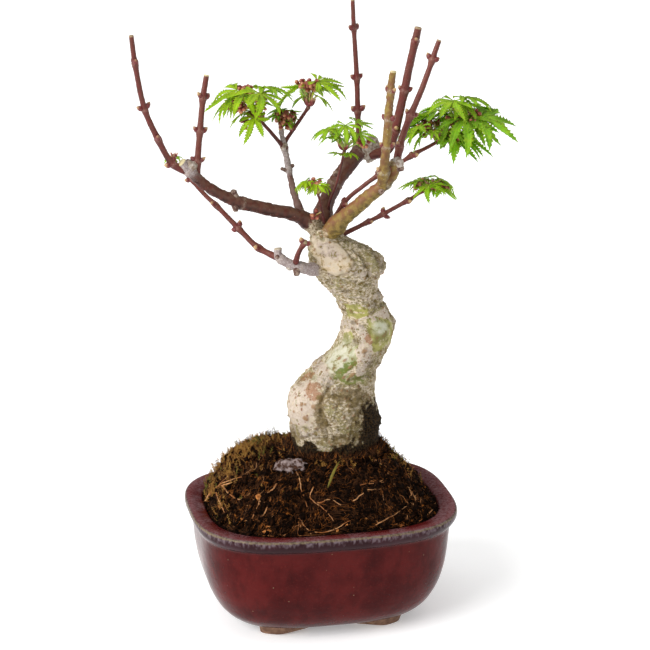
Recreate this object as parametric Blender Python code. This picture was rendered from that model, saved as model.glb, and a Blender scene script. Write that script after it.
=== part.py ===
"""A small maple trained as a bonsai in a glazed pot, at its real size.

Sizes below are millimetres, from a point on the floor under the pot's centre. +X is to the
right of the side it is seen from, +Y is away from there, and +Z is up. The last step moves
everything so that the origin lies under the middle of the whole object's box.
"""

import math

import bmesh
import bpy
import numpy as np
from mathutils.bvhtree import BVHTree

MM = 0.001
GAP = 0.3
UP = np.array([0.0, 0.0, 1.0])

# The pot: a rounded rectangle seen from above, turned a little to the left
POT_HALF_WIDTH = 70.5
POT_HALF_DEPTH = 59.0
POT_TURN = math.radians(12)
POT_SQUARENESS = 3.1
RIM_HEIGHT = 62.0
RIM_FLAT = 9.0
FOOT_HEIGHT = 4.0
FOOT_SWEEP = math.radians(20)
# The foot's height, and how far its outer and inner sides lie inside the lip's edge
FOOT_RINGS = [(0.0, 24.5, 34.0), (FOOT_HEIGHT + 1.2, 22.0, 35.5)]
DRAIN_RADIUS = 6.0
POT_SIDES = 36
# How far the outside lies inside the lip's edge, from the underside up to the lip
POT_OUTSIDE = [
    (24.5, FOOT_HEIGHT), (20.0, 5.6), (14.6, 10.5), (10.8, 16.5), (8.0, 23.5), (5.9, 31.5),
    (4.7, 40.0), (4.1, 48.0), (3.6, 53.5), (1.9, 55.5), (0.5, 58.0), (0.0, 60.2), (0.4, 61.6),
]
FLOOR_HEIGHT = 9.0
POT_INSIDE = [(0.9, 59.5), (1.3, 48.0), (3.0, 28.0), (7.5, 14.0), (15.0, FLOOR_HEIGHT)]

# The soil: a mound that rises from the rim to a flat seat under the trunk
SOIL_EDGE = RIM_HEIGHT - 2.0
SOIL_STEPS = 6
MOSS_BANK = 11.0
RIGHT_DIP = 7.0
SEAT_MARGIN = 1.5

# The trunk: height, middle in X and Y, half width and half depth, from the flat cut up
TRUNK_CUT = 86.0
TRUNK_RINGS = [
    (86.0, 7.6, 10.0, 22.8, 20.5), (92.0, 7.5, 10.0, 21.9, 19.8), (98.0, 7.4, 9.8, 22.6, 19.8),
    (105.0, 7.7, 9.7, 23.5, 20.2), (112.0, 6.4, 9.4, 23.1, 20.2), (120.0, 7.0, 9.5, 22.0, 19.5),
    (127.0, 10.2, 10.6, 19.4, 17.8), (132.0, 13.0, 11.7, 17.0, 16.2), (138.0, 19.0, 13.7, 15.0, 15.0),
    (146.0, 23.6, 15.4, 14.1, 14.4), (155.0, 25.7, 16.0, 13.0, 13.6), (164.0, 22.7, 15.0, 12.2, 12.8),
    (172.5, 18.7, 13.7, 12.5, 12.8), (180.0, 14.8, 12.4, 15.4, 14.8), (186.0, 14.5, 12.2, 17.8, 16.2),
    (192.5, 13.0, 11.6, 17.6, 15.8), (198.0, 8.4, 10.1, 13.6, 13.2), (203.0, 4.2, 9.2, 8.8, 9.6),
    (208.0, 2.8, 9.0, 6.2, 7.4),
]
TRUNK_SIDES = 24
TRUNK_STEPS = 30
FLARE_HEIGHT = 12.0
# Surface roots that flare from the foot: direction in degrees and how far they stand out
FLARES = [(228, 3.2), (292, 1.8), (345, 2.2), (60, 2.0), (140, 2.4)]
# Swellings on the trunk: direction in degrees, height, how far it stands out, how wide
KNOBS = [
    (5, 187, 2.2, 6.0), (195, 190, 1.6, 8.0), (215, 104, 1.6, 11.0), (300, 150, 1.6, 8.0),
    (120, 150, 2.0, 9.0), (340, 104, 1.4, 9.0), (80, 112, 1.8, 12.0), (70, 186, 1.8, 9.0),
]

# The limbs: a path of a few points, the width at its foot and tip, the share of its length at
# which each leaf node swells and by how much, the direction of the first node's two buds and
# how far each later pair is twisted on from it. Their paths begin inside what carries them
LIMBS = {
    "left_bough": dict(
        bark="brown_bark",
        path=[(0, 9, 205), (-10, 4, 215), (-25, -4, 220.5), (-42, -12, 226.7), (-57, -18, 236.3),
              (-69, -21.5, 249)],
        width=(7.6, 5.0), swell=[(0.55, 0.18), (0.93, 0.3)]),
    "left_long_shoot": dict(
        bark="red_bark",
        path=[(-65, -20.5, 243), (-73.5, -23, 249), (-80, -26, 262), (-86, -29, 278),
              (-89.5, -32, 299.5), (-91, -33, 314)],
        width=(3.3, 2.4), swell=[(0.12, 0.35), (0.31, 0.3), (0.52, 0.25), (0.82, 0.35)],
        buds=20, twist=90),
    "left_upright_shoot": dict(
        bark="red_bark",
        path=[(-61.2, -18.5, 241), (-61, -17, 248), (-59.5, -15, 264), (-58, -13, 279),
              (-56, -11, 291)],
        width=(3.3, 2.7), swell=[(0.14, 0.3), (0.44, 0.35), (0.76, 0.35)], buds=0, twist=20),
    "lower_left_bough": dict(
        bark="grey_bark",
        path=[(2, 3, 186), (-11, -4, 190.5), (-17.5, -4, 193), (-21, -3, 196), (-21.5, -2.5, 200)],
        width=(6.2, 4.2), swell=[(0.45, 0.18), (0.8, 0.2)]),
    "lower_left_shoot": dict(
        bark="red_bark",
        path=[(-20.5, -2, 194), (-32, 2, 199.3), (-41, 5, 207.6), (-53, 8, 219.6),
              (-60, 10, 226), (-73, 12, 241)],
        width=(3.3, 1.9), swell=[(0.17, 0.35), (0.37, 0.35), (0.6, 0.35), (0.85, 0.3)],
        buds=90, twist=90),
    "front_twig": dict(
        bark="red_bark",
        path=[(-12.5, -5, 192), (-10.5, -9, 199.5), (-7, -12, 206)],
        width=(2.8, 2.4), swell=[(0.9, 0.35)], buds=0, twist=0),
    "inner_left_bough": dict(
        bark="grey_bark",
        path=[(-9, 4.5, 214.5), (-14, 12, 228.5), (-15.8, 15, 237), (-17.8, 17, 246.6),
              (-19.8, 18, 258.4)],
        width=(3.6, 2.6), swell=[(0.55, 0.3), (0.78, 0.35)]),
    "centre_bough": dict(
        bark="brown_bark",
        path=[(1, 12, 204), (2, 15, 214.7), (4.4, 18, 221.5), (8, 21, 228.3), (13.7, 24, 236),
              (19.5, 26, 242.6), (23.5, 26.5, 248)],
        width=(8.6, 7.6), swell=[(0.5, 0.06), (0.93, 0.3)]),
    "tall_shoot": dict(
        bark="red_bark",
        path=[(21, 27, 247), (19.9, 26, 261), (19.2, 25, 282.5), (17.6, 23, 308), (16.8, 22, 324)],
        width=(3.1, 2.1), swell=[(0.24, 0.4), (0.465, 0.4), (0.8, 0.4)], buds=0, twist=25),
    "thick_red_shoot": dict(
        bark="red_bark",
        path=[(27, 23, 243), (35.2, 18.5, 247), (38.3, 17.5, 255), (42.7, 15.5, 275),
              (45.6, 14.5, 290), (50, 13.5, 311)],
        width=(5.0, 3.7), swell=[(0.28, 0.2), (0.56, 0.2), (0.9, 0.2)], buds=90, twist=90),
    "right_bough": dict(
        bark="olive_bark",
        path=[(3, 6, 203), (11, -1, 214), (18.6, -6, 222), (26, -10, 229.5), (32.5, -12, 235.5),
              (36.8, -12, 241), (38.6, -11, 247)],
        width=(9.4, 5.4), swell=[(0.8, 0.12), (0.97, 0.3)]),
    "right_upright_shoot": dict(
        bark="olive_bark",
        path=[(31.5, -14, 236), (32.6, -17, 248), (33.7, -18, 260.5), (34.6, -18, 274.6),
              (36.4, -17, 294)],
        width=(4.9, 3.5), swell=[(0.12, 0.2), (0.34, 0.12), (0.58, 0.12), (0.82, 0.15)],
        buds=200, twist=-25),
    "right_red_shoot": dict(
        bark="red_bark",
        path=[(38.5, -10.5, 245), (41, -8, 256.4), (45, -6, 267.7), (52, -3, 284), (60, 1, 306.5)],
        width=(3.7, 2.5), swell=[(0.14, 0.3), (0.39, 0.45), (0.84, 0.45)], buds=60, twist=-40),
    "long_thin_bough": dict(
        bark="red_bark",
        path=[(5.5, 11, 209.5), (13.7, 8, 222.5), (21.4, 7, 229.5), (30.5, 6, 236.5),
              (40.8, 8, 242), (48.7, 12, 246)],
        width=(2.4, 2.1), swell=[(0.22, 0.35), (0.62, 0.3), (0.96, 0.5)], buds=110, twist=90),
    "lower_right_bough": dict(
        bark="red_bark",
        path=[(9, 12, 202), (22.6, 16, 207.8), (31.5, 18, 212), (39.8, 20, 216.2), (46.6, 21, 219.7)],
        width=(2.5, 2.1), swell=[(0.42, 0.3), (0.63, 0.4), (0.96, 0.4)], buds=100, twist=90),
}
BOUGH_SIDES = 8
SHOOT_SIDES = 6
BOUGH_WIDTH = 4.5
LIMB_STEP = 5.0
NODE_LENGTH = 2.2
BUD_LENGTH = 4.2
BUD_WIDTH = 2.0
# Callus and scar wood: the limb it is on, its middle and its half sizes
BURRS = [
    ("left_bough", (-64.5, -20.5, 246), (4.2, 3.6, 4.4)),
    ("centre_bough", (26.5, 25, 244.5), (5.6, 4.6, 6.8)),
    ("right_bough", (38.2, -11.2, 246.3), (4.0, 3.6, 3.6)),
    ("lower_left_bough", (-15.5, -4, 190), (2.8, 2.6, 2.4)),
    ("inner_left_bough", (-18.3, 17.2, 249), (2.1, 2.1, 2.6)),
]

# The foliage masses: a stem as above, then its sprays. A spray has its place as a share of the
# stem, how many leaves, their length, the first direction and the sweep they fan through in
# degrees, the length of the stalks and their rise, how far the blades hang, and its flowers
MASSES = {
    "upper_left_leaves": dict(
        seed=3, width=(2.1, 1.5),
        stem=[(-18.5, 17, 248.5), (-25, 14, 257), (-29.5, 11, 263), (-32.5, 9, 268.5)],
        sprays=[
            dict(at=1.0, leaves=5, size=20, first=115, sweep=180, stalk=14, rise=48, hang=20, flowers=5),
            dict(at=1.0, leaves=2, size=17, first=-30, sweep=70, stalk=12, rise=66, hang=12, flowers=1),
            dict(at=0.8, leaves=2, size=14, first=170, sweep=100, stalk=9, rise=24, hang=34, flowers=2),
        ]),
    "inner_left_leaves": dict(
        seed=8, width=(2.1, 1.7),
        stem=[(-18, 18, 251), (-12, 19.5, 259.5), (-5.4, 21, 269)],
        sprays=[
            dict(at=1.0, leaves=6, size=21, first=-25, sweep=310, stalk=13, rise=62, hang=20, flowers=2),
            dict(at=0.3, leaves=4, size=11, first=70, sweep=150, stalk=12, rise=62, hang=14, flowers=3),
        ]),
    "centre_leaves": dict(
        seed=5, width=(1.7, 1.3),
        stem=[(4.6, 12.5, 216), (5.6, 10.5, 222), (8.6, 9, 230.5), (11, 8, 240.4), (12.8, 7.5, 249)],
        sprays=[
            dict(at=1.0, leaves=5, size=13, first=140, sweep=270, stalk=14, rise=58, hang=24, flowers=1),
            dict(at=0.9, leaves=2, size=7, first=170, sweep=200, stalk=4, rise=30, hang=0, flowers=0),
        ]),
    "small_centre_leaves": dict(
        seed=11, width=(1.6, 1.2),
        stem=[(2.5, 3.5, 211.5), (1, 1.5, 220), (-0.8, 0, 228)],
        sprays=[
            dict(at=1.0, leaves=4, size=9, first=100, sweep=180, stalk=9, rise=52, hang=30, flowers=2),
            dict(at=0.4, leaves=1, size=7, first=200, sweep=10, stalk=4, rise=0, hang=30, flowers=1),
        ]),
    "right_leaves": dict(
        seed=4, width=(2.1, 1.6),
        stem=[(49.4, 12.3, 246.4), (59.2, 18, 250.3), (72, 24, 257.5)],
        sprays=[
            dict(at=1.0, leaves=6, size=25, first=-110, sweep=300, stalk=14, rise=36, hang=14, flowers=3),
            dict(at=1.0, leaves=2, size=19, first=200, sweep=190, stalk=15, rise=72, hang=4, flowers=0),
            dict(at=0.5, leaves=4, size=20, first=95, sweep=120, stalk=13, rise=52, hang=20, flowers=2),
            dict(at=0.7, leaves=2, size=20, first=-80, sweep=100, stalk=8, rise=6, hang=30, flowers=2),
        ]),
    "lower_right_leaves": dict(
        seed=6, width=(2.0, 1.6),
        stem=[(47.3, 21.1, 220), (52.3, 22, 223.3), (58, 22, 225)],
        sprays=[
            dict(at=1.0, leaves=6, size=14, first=-130, sweep=320, stalk=7, rise=40, hang=22, flowers=2),
        ]),
    "left_tip_leaves": dict(
        seed=2, width=(1.6, 1.3),
        stem=[(-73.5, 12.1, 241.6), (-74.5, 12.3, 243), (-75, 12.4, 244.2)],
        sprays=[
            dict(at=1.0, leaves=2, size=8, first=20, sweep=330, stalk=2.5, rise=10, hang=10, flowers=0),
        ]),
}
LEAF_LOBES = [(-84, 0.62), (-38, 0.9), (0, 1.0), (38, 0.9), (84, 0.62)]
LEAF_NOTCH = 0.3
LEAF_THICKNESS = 0.5
LEAF_SAG = 0.22
LEAF_CLEARANCE = 0.9
STALK_RADIUS = 0.45
FLOWER_RADIUS = 1.7


# Curves

def smooth_rows(rows, count):
    """Rows read off a smooth curve through the given rows, evenly between one and the next."""
    rows = np.asarray(rows, float)
    ends = np.vstack([2 * rows[0] - rows[1], rows, 2 * rows[-1] - rows[-2]])
    t = np.linspace(0, len(rows) - 1, count)
    i = np.minimum(t.astype(int), len(rows) - 2)
    f = (t - i)[:, None]
    a, b, c, d = ends[i], ends[i + 1], ends[i + 2], ends[i + 3]
    return 0.5 * (2 * b + (c - a) * f + (2 * a - 5 * b + 4 * c - d) * f**2
                  + (3 * b - 3 * c + d - a) * f**3)


def smooth_path(points, step):
    """Points at even steps along a smooth curve through the given ones."""
    dense = smooth_rows(points, 24 * len(points))
    along = np.concatenate([[0], np.cumsum(np.linalg.norm(np.diff(dense, axis=0), axis=1))])
    even = np.linspace(0, along[-1], max(3, math.ceil(along[-1] / step) + 1))
    return np.stack([np.interp(even, along, dense[:, k]) for k in range(3)], 1)


def unit(vector):
    return vector / np.linalg.norm(vector)


def frames(path):
    """Each point's direction and two sides, turned as little as possible along the path."""
    ahead = np.gradient(path, axis=0)
    ahead /= np.linalg.norm(ahead, axis=1)[:, None]
    side = unit(np.cross(ahead[0], [0.1, 1.0, 0.2]))
    sides = []
    for direction in ahead:
        side = unit(side - direction * side.dot(direction))
        sides.append(side)
    sides = np.array(sides)
    return ahead, sides, np.cross(ahead, sides)


def limb_radii(limb, path):
    share = np.linspace(0, 1, len(path))
    length = np.linalg.norm(np.diff(path, axis=0), axis=1).sum()
    radii = np.interp(share, [0, 1], limb["width"]) / 2
    swelling = sum(more * np.exp(-(((share - at) * length / NODE_LENGTH) ** 2))
                   for at, more in limb.get("swell", []))
    return radii * (1 + swelling)


# Solids

def material(name, colour, roughness, metallic=0.0):
    made = bpy.data.materials.new(name)
    made.use_nodes = True
    shader = made.node_tree.nodes["Principled BSDF"]
    shader.inputs["Base Color"].default_value = (*colour, 1)
    shader.inputs["Roughness"].default_value = roughness
    shader.inputs["Metallic"].default_value = metallic
    return made


def solid(name, points, faces, surface):
    mesh = bpy.data.meshes.new(name)
    mesh.from_pydata([tuple(p) for p in np.asarray(points) * MM], [], faces)
    mesh.materials.append(surface)
    made = bpy.data.objects.new(name, mesh)
    bpy.context.scene.collection.objects.link(made)
    return made


def lofted(name, rings, surface, closed=False):
    """A skin over rings of equally many points, with flat ends or, if closed, joined up."""
    sides = len(rings[0])
    faces = []
    for k in range(len(rings) if closed else len(rings) - 1):
        low, high = k * sides, (k + 1) % len(rings) * sides
        for i in range(sides):
            j = (i + 1) % sides
            faces.append((low + i, low + j, high + j, high + i))
    if not closed:
        faces.append(tuple(reversed(range(sides))))
        faces.append(tuple((len(rings) - 1) * sides + i for i in range(sides)))
    return solid(name, np.concatenate(rings), faces, surface)


def tube(name, path, radii, sides, surface):
    ahead, side, other = frames(path)
    angles = np.arange(sides) * 2 * math.pi / sides
    rings = [p + r * (np.cos(angles)[:, None] * s + np.sin(angles)[:, None] * o)
             for p, r, s, o in zip(path, radii, side, other)]
    return lofted(name, rings, surface)


def spindle(name, foot, tip, width, surface):
    """A pointed bud with four sides, widest at two fifths of its length."""
    path = np.array([foot, foot + (tip - foot) * 0.4, tip])
    ahead, side, other = frames(path)
    belly = [path[1] + width / 2 * (math.cos(a) * side[1] + math.sin(a) * other[1])
             for a in np.arange(4) * math.pi / 2]
    points = [foot, *belly, tip]
    faces = [(0, 1 + (i + 1) % 4, 1 + i) for i in range(4)]
    faces += [(5, 1 + i, 1 + (i + 1) % 4) for i in range(4)]
    return solid(name, points, faces, surface)


def ball(name, middle, half_sizes, surface, sides=8, rows=5):
    """A rough ball: rings between two poles."""
    rings = []
    for row in range(1, rows):
        tilt = math.pi * row / rows
        turn = np.arange(sides) * 2 * math.pi / sides + row * 0.3
        rings.append(np.stack([np.cos(turn) * math.sin(tilt), np.sin(turn) * math.sin(tilt),
                               np.full(sides, -math.cos(tilt))], 1))
    points = np.concatenate([[[0, 0, -1]], *rings, [[0, 0, 1]]]) * half_sizes + middle
    last = len(points) - 1
    faces = [(0, 1 + (i + 1) % sides, 1 + i) for i in range(sides)]
    for k in range(rows - 2):
        low, high = 1 + k * sides, 1 + (k + 1) * sides
        faces += [(low + i, low + (i + 1) % sides, high + (i + 1) % sides, high + i)
                  for i in range(sides)]
    top = last - sides
    faces += [(last, top + i, top + (i + 1) % sides) for i in range(sides)]
    return solid(name, points, faces, surface)


# Boolean steps

def bake(target):
    """Keeps the evaluated mesh in place of the modifiers, and only its largest piece."""
    graph = bpy.context.evaluated_depsgraph_get()
    mesh = bpy.data.meshes.new_from_object(target.evaluated_get(graph))
    target.modifiers.clear()
    target.data = mesh
    keep_largest(target)


def keep_largest(target):
    """Drops every piece that isn't joined to the largest one along an edge."""
    shape = bmesh.new()
    shape.from_mesh(target.data)
    left, pieces = set(shape.faces), []
    while left:
        piece, to_visit = set(), [left.pop()]
        while to_visit:
            face = to_visit.pop()
            piece.add(face)
            for edge in face.edges:
                for other in edge.link_faces:
                    if other in left:
                        left.discard(other)
                        to_visit.append(other)
        pieces.append(piece)
    largest = max(pieces, key=len)
    scraps = [face for piece in pieces if piece is not largest for face in piece]
    bmesh.ops.delete(shape, geom=scraps, context="FACES")
    shape.to_mesh(target.data)
    shape.free()


def fuse(target, pieces, solver="EXACT"):
    """Joins the pieces to the target with one Boolean union, and removes them."""
    if not pieces:
        return
    helpers = bpy.data.collections.new(target.name + "_pieces")
    bpy.context.scene.collection.children.link(helpers)
    for piece in pieces:
        helpers.objects.link(piece)
        bpy.context.scene.collection.objects.unlink(piece)
    union = target.modifiers.new("union", "BOOLEAN")
    union.operation = "UNION"
    union.operand_type = "COLLECTION"
    union.collection = helpers
    union.solver = solver
    bake(target)
    for piece in pieces:
        bpy.data.objects.remove(piece)
    bpy.data.collections.remove(helpers)


def touches(first, second):
    graph = bpy.context.evaluated_depsgraph_get()
    trees = [BVHTree.FromObject(each, graph) for each in (first, second)]
    return bool(trees[0].overlap(trees[1]))


def cut_clear(target, thick_copies):
    """Cuts the target back from each slightly thicker copy of a neighbour that it meets."""
    for copy in thick_copies:
        if not touches(target, copy):
            continue
        cut = target.modifiers.new("clearance", "BOOLEAN")
        cut.operation = "DIFFERENCE"
        cut.object = copy
        cut.solver = "EXACT"
        bake(target)


# The pot and the soil

def pot_outline(inset, height, turn):
    """Points of the pot's rounded rectangle, so far inside the lip's edge, in these directions."""
    c, s = np.cos(turn), np.sin(turn)
    power = 2 / POT_SQUARENESS
    x = (POT_HALF_WIDTH - inset) * np.sign(c) * np.abs(c) ** power
    y = (POT_HALF_DEPTH - inset) * np.sign(s) * np.abs(s) ** power
    return np.stack([x * math.cos(POT_TURN) - y * math.sin(POT_TURN),
                     x * math.sin(POT_TURN) + y * math.cos(POT_TURN),
                     np.full(len(turn), height)], 1)


def pot_ring(inset, height):
    return pot_outline(inset, height, np.arange(POT_SIDES) * 2 * math.pi / POT_SIDES)


def circle_ring(middle, radius, height):
    turn = np.arange(POT_SIDES) * 2 * math.pi / POT_SIDES + POT_TURN
    return np.stack([middle[0] + radius * np.cos(turn), middle[1] + radius * np.sin(turn),
                     np.full(POT_SIDES, height)], 1)


def inner_wall():
    """The inside of the pot from the rim down, as insets and heights."""
    return [(RIM_FLAT + more, height) for more, height in POT_INSIDE]


def make_foot(corner, surface):
    """A low bracket foot under one corner of the pot, its top sunk into the underside."""
    turn = np.linspace(corner - FOOT_SWEEP, corner + FOOT_SWEEP, 7)
    rings = [np.concatenate([pot_outline(outer, height, turn), pot_outline(inner, height, turn[::-1])])
             for height, outer, inner in FOOT_RINGS]
    return lofted("foot", rings, surface)


def make_pot(surface):
    rings = [circle_ring((0, 0), DRAIN_RADIUS, FLOOR_HEIGHT),
             circle_ring((0, 0), DRAIN_RADIUS, FOOT_HEIGHT)]
    rings += [pot_ring(inset, height) for inset, height in POT_OUTSIDE]
    rings += [pot_ring(1.3, RIM_HEIGHT), pot_ring(RIM_FLAT, RIM_HEIGHT - 1)]
    rings += [pot_ring(inset, height) for inset, height in inner_wall()]
    pot = lofted("pot", rings, surface, closed=True)
    corners = [math.atan2(y, x) for x, y in ((1, 1), (-1, 1), (-1, -1), (1, -1))]
    fuse(pot, [make_foot(corner, surface) for corner in corners])
    return pot


def mound_height(share, x, y):
    """Height of the soil at a share of the way in from the pot's wall, with a mossy bank."""
    seat = TRUNK_CUT - GAP
    rise = 1 - (1 - share) ** 2.1
    bank = MOSS_BANK * np.exp(-(((x + 48) / 26) ** 2) - ((y - 30) / 30) ** 2)
    dip = RIGHT_DIP * np.exp(-(((x - 46) / 24) ** 2) - ((y - 22) / 30) ** 2)
    return SOIL_EDGE + (seat - SOIL_EDGE) * rise + (bank - dip) * share**0.5 * (1 - share) * 2


def make_soil(surface):
    wall = [(inset + GAP, height) for inset, height in inner_wall() if height < SOIL_EDGE]
    rings = [pot_ring(inset, height + GAP) for inset, height in reversed(wall[1:])]
    edge = pot_ring(wall[0][0], SOIL_EDGE)
    _, x, y, half_width, _ = TRUNK_RINGS[0]
    seat = circle_ring((x, y), half_width + SEAT_MARGIN, TRUNK_CUT - GAP)
    for step in range(SOIL_STEPS + 1):
        share = step / SOIL_STEPS
        ring = edge * (1 - share) + seat * share
        ring[:, 2] = mound_height(share, ring[:, 0], ring[:, 1])
        rings.append(ring)
    return lofted("soil", rings, surface)


# The trunk

def bell(angle_gap, wide):
    """1 where the angle is met, falling away over about the given number of degrees."""
    gap = (angle_gap + 180) % 360 - 180
    return np.exp(-((gap / wide) ** 2))


def trunk_rings(grow=0.0):
    turn = np.arange(TRUNK_SIDES) * 2 * math.pi / TRUNK_SIDES
    degrees = np.degrees(turn)
    rings = []
    for height, x, y, half_width, half_depth in smooth_rows(TRUNK_RINGS, TRUNK_STEPS):
        out = np.full(TRUNK_SIDES, grow)
        for direction, amount in FLARES:
            fade = math.exp(-(((height - TRUNK_CUT) / FLARE_HEIGHT) ** 2))
            out += amount * bell(degrees - direction, 22) * fade
        for direction, level, amount, wide in KNOBS:
            fade = math.exp(-(((height - level) / wide) ** 2))
            out += amount * bell(degrees - direction, math.degrees(wide / half_width)) * fade
        rings.append(np.stack([x + (half_width + out) * np.cos(turn),
                               y + (half_depth + out) * np.sin(turn),
                               np.full(TRUNK_SIDES, height)], 1))
    rings[0][:, 2] -= grow
    rings[-1][:, 2] += grow
    return rings


# The limbs

def limb_sides(limb):
    return BOUGH_SIDES if limb["width"][0] > BOUGH_WIDTH else SHOOT_SIDES


def make_limb(name, limb, surface):
    path = smooth_path(limb["path"], LIMB_STEP)
    return tube(name, path, limb_radii(limb, path), limb_sides(limb), surface)


def thick_limb(name, limb, surface):
    """The same limb a gap larger all round, to cut its neighbours clear of it."""
    path = smooth_path(limb["path"], LIMB_STEP)
    radii = limb_radii(limb, path) + GAP
    path[0] -= unit(path[1] - path[0]) * GAP
    path[-1] += unit(path[-1] - path[-2]) * GAP
    return tube(name + "_thick", path, radii, limb_sides(limb), surface)


def make_buds(name, limb, surface):
    """Two buds facing each other at each node, turned by the limb's twist from one to the next."""
    if "buds" not in limb:
        return []
    path = smooth_path(limb["path"], 1.0)
    radii = limb_radii(limb, path)
    ahead, _, _ = frames(path)
    made = []
    for k, (at, _) in enumerate(limb["swell"]):
        i = round(at * (len(path) - 1))
        turn = math.radians(limb["buds"] + limb["twist"] * k)
        flat = np.array([math.cos(turn), math.sin(turn), 0.0])
        across = unit(flat - ahead[i] * flat.dot(ahead[i]))
        for way in (-1, 1):
            foot = path[i] + across * way * radii[i] * 0.35
            tip = foot + (across * way * 0.72 + ahead[i] * 0.7) * BUD_LENGTH
            made.append(spindle(f"{name}_bud", foot, tip, BUD_WIDTH, surface))
    return made


# The foliage

def sprays_of(mass):
    """The leaves and flowers of a mass by its seeded rule, as stalks and blades."""
    rng = np.random.default_rng(mass["seed"])
    stem = smooth_path(mass["stem"], 1.0)
    leaves, flowers = [], []
    for spray in mass["sprays"]:
        foot = stem[round(spray["at"] * (len(stem) - 1))]
        for k in range(spray["leaves"]):
            share = (k + 0.5) / spray["leaves"]
            turn = math.radians(spray["first"] + spray["sweep"] * share + rng.uniform(-9, 9))
            rise = math.radians(spray["rise"] + rng.uniform(-11, 11))
            hang = math.radians(spray["hang"] + rng.uniform(-12, 12))
            stalk = spray["stalk"] * rng.uniform(0.8, 1.15)
            flat = np.array([math.cos(turn), math.sin(turn), 0.0])
            leaves.append(dict(
                foot=foot,
                base=foot + stalk * (flat * math.cos(rise) + UP * math.sin(rise)),
                midrib=flat * math.cos(hang) - UP * math.sin(hang),
                roll=math.radians(rng.uniform(-16, 16)),
                size=spray["size"] * rng.uniform(0.84, 1.08)))
        for k in range(spray["flowers"]):
            turn = math.radians(spray["first"] + spray["sweep"] * rng.uniform(0, 1))
            rise = math.radians(spray["rise"] + rng.uniform(-35, 25))
            reach = spray["stalk"] * rng.uniform(0.75, 1.1)
            flat = np.array([math.cos(turn), math.sin(turn), 0.0])
            flowers.append(dict(
                foot=foot, head=foot + reach * (flat * math.cos(rise) + UP * math.sin(rise))))
    return stem, leaves, flowers


def blade_frame(leaf):
    """The leaf's midrib, its other side and its upper face's direction."""
    along = unit(leaf["midrib"])
    across = unit(np.cross(UP, along))
    face = np.cross(along, across)
    turned = across * math.cos(leaf["roll"]) + face * math.sin(leaf["roll"])
    return along, turned, np.cross(along, turned)


def leaf_edge(leaf):
    """The leaf's outline, a star of lobes whose tips sag, and the middle of the blade."""
    along, across, face = blade_frame(leaf)
    points = []
    for k, (angle, reach) in enumerate(LEAF_LOBES):
        if k:
            between = (angle + LEAF_LOBES[k - 1][0]) / 2
            points.append((between, LEAF_NOTCH * (0.75 + 0.25 * math.cos(math.radians(between)))))
        points.append((angle, reach))
    points.append((180, 0.04))
    edge = []
    for angle, reach in points:
        turn = math.radians(angle)
        edge.append(leaf["base"] + leaf["size"] * (
            along * reach * math.cos(turn) + across * reach * math.sin(turn)
            - face * LEAF_SAG * reach**2))
    return np.array(edge), leaf["base"] + along * leaf["size"] * 0.1, face


def make_leaf(leaf, surface):
    edge, middle, face = leaf_edge(leaf)
    half = face * LEAF_THICKNESS / 2
    count = len(edge)
    points = [*(edge + half), middle + half, *(edge - half), middle - half]
    upper, lower = count, 2 * count + 1
    faces = []
    for i in range(count):
        j = (i + 1) % count
        faces.append((i, j, upper))
        faces.append((count + 1 + j, count + 1 + i, lower))
        faces.append((j, i, count + 1 + i, count + 1 + j))
    return solid("leaf", points, faces, surface)


def leaf_samples(leaf):
    """Points over the stalk and the blade, for the test against the neighbours."""
    edge, middle, _ = leaf_edge(leaf)
    spread = [middle + (edge - middle) * share for share in (0.35, 0.7, 1.0)]
    stalk = [leaf["foot"] + (leaf["base"] - leaf["foot"]) * share for share in (0.4, 0.7, 1.0)]
    return np.concatenate([*spread, stalk])


def nearest(points, others):
    return np.linalg.norm(points[:, None] - others[None], axis=2)


def is_clear(points, limbs, taken):
    """Whether the points keep away from every limb and from the other masses."""
    for path, radii in limbs:
        if (nearest(points, path) - radii).min() < LEAF_CLEARANCE:
            return False
    return all(nearest(points, other).min() > LEAF_CLEARANCE * 2 for other in taken)


def limb_lines():
    """Each limb and the trunk as closely spaced points with radii."""
    lines = []
    for limb in LIMBS.values():
        path = smooth_path(limb["path"], 1.0)
        lines.append((path, limb_radii(limb, path)))
    form = np.array(TRUNK_RINGS)
    lines.append((form[:, [1, 2, 0]], form[:, 3]))
    return lines


def make_mass(name, mass, limbs, taken, leaf_surface):
    """A stem with its leaves and flowers fused on, leaving out those that touch a neighbour."""
    stem_path, leaves, flowers = sprays_of(mass)
    path = smooth_path(mass["stem"], 4.0)
    radii = np.interp(np.linspace(0, 1, len(path)), [0, 1], mass["width"]) / 2
    stem = tube(name, path, radii, 6, leaf_surface)
    pieces, own = [], []
    for leaf in leaves:
        samples = leaf_samples(leaf)
        if not is_clear(samples, limbs, taken):
            continue
        own.append(samples)
        pieces.append(make_leaf(leaf, leaf_surface))
        end = leaf["base"] + unit(leaf["midrib"]) * leaf["size"] * 0.08
        pieces.append(tube("stalk", np.array([leaf["foot"], end]), [STALK_RADIUS] * 2, 3, leaf_surface))
    for flower in flowers:
        head = flower["head"]
        if not is_clear(head[None], limbs, taken):
            continue
        own.append(head[None])
        pieces.append(spindle("flower", head - UP * FLOWER_RADIUS, head + UP * FLOWER_RADIUS,
                              2 * FLOWER_RADIUS, leaf_surface))
        pieces.append(tube("stalk", np.array([flower["foot"], head]), [STALK_RADIUS] * 2, 3, leaf_surface))
    own.append(stem_path)
    fuse(stem, pieces, "MANIFOLD")
    taken.append(np.concatenate(own))
    return stem


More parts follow.
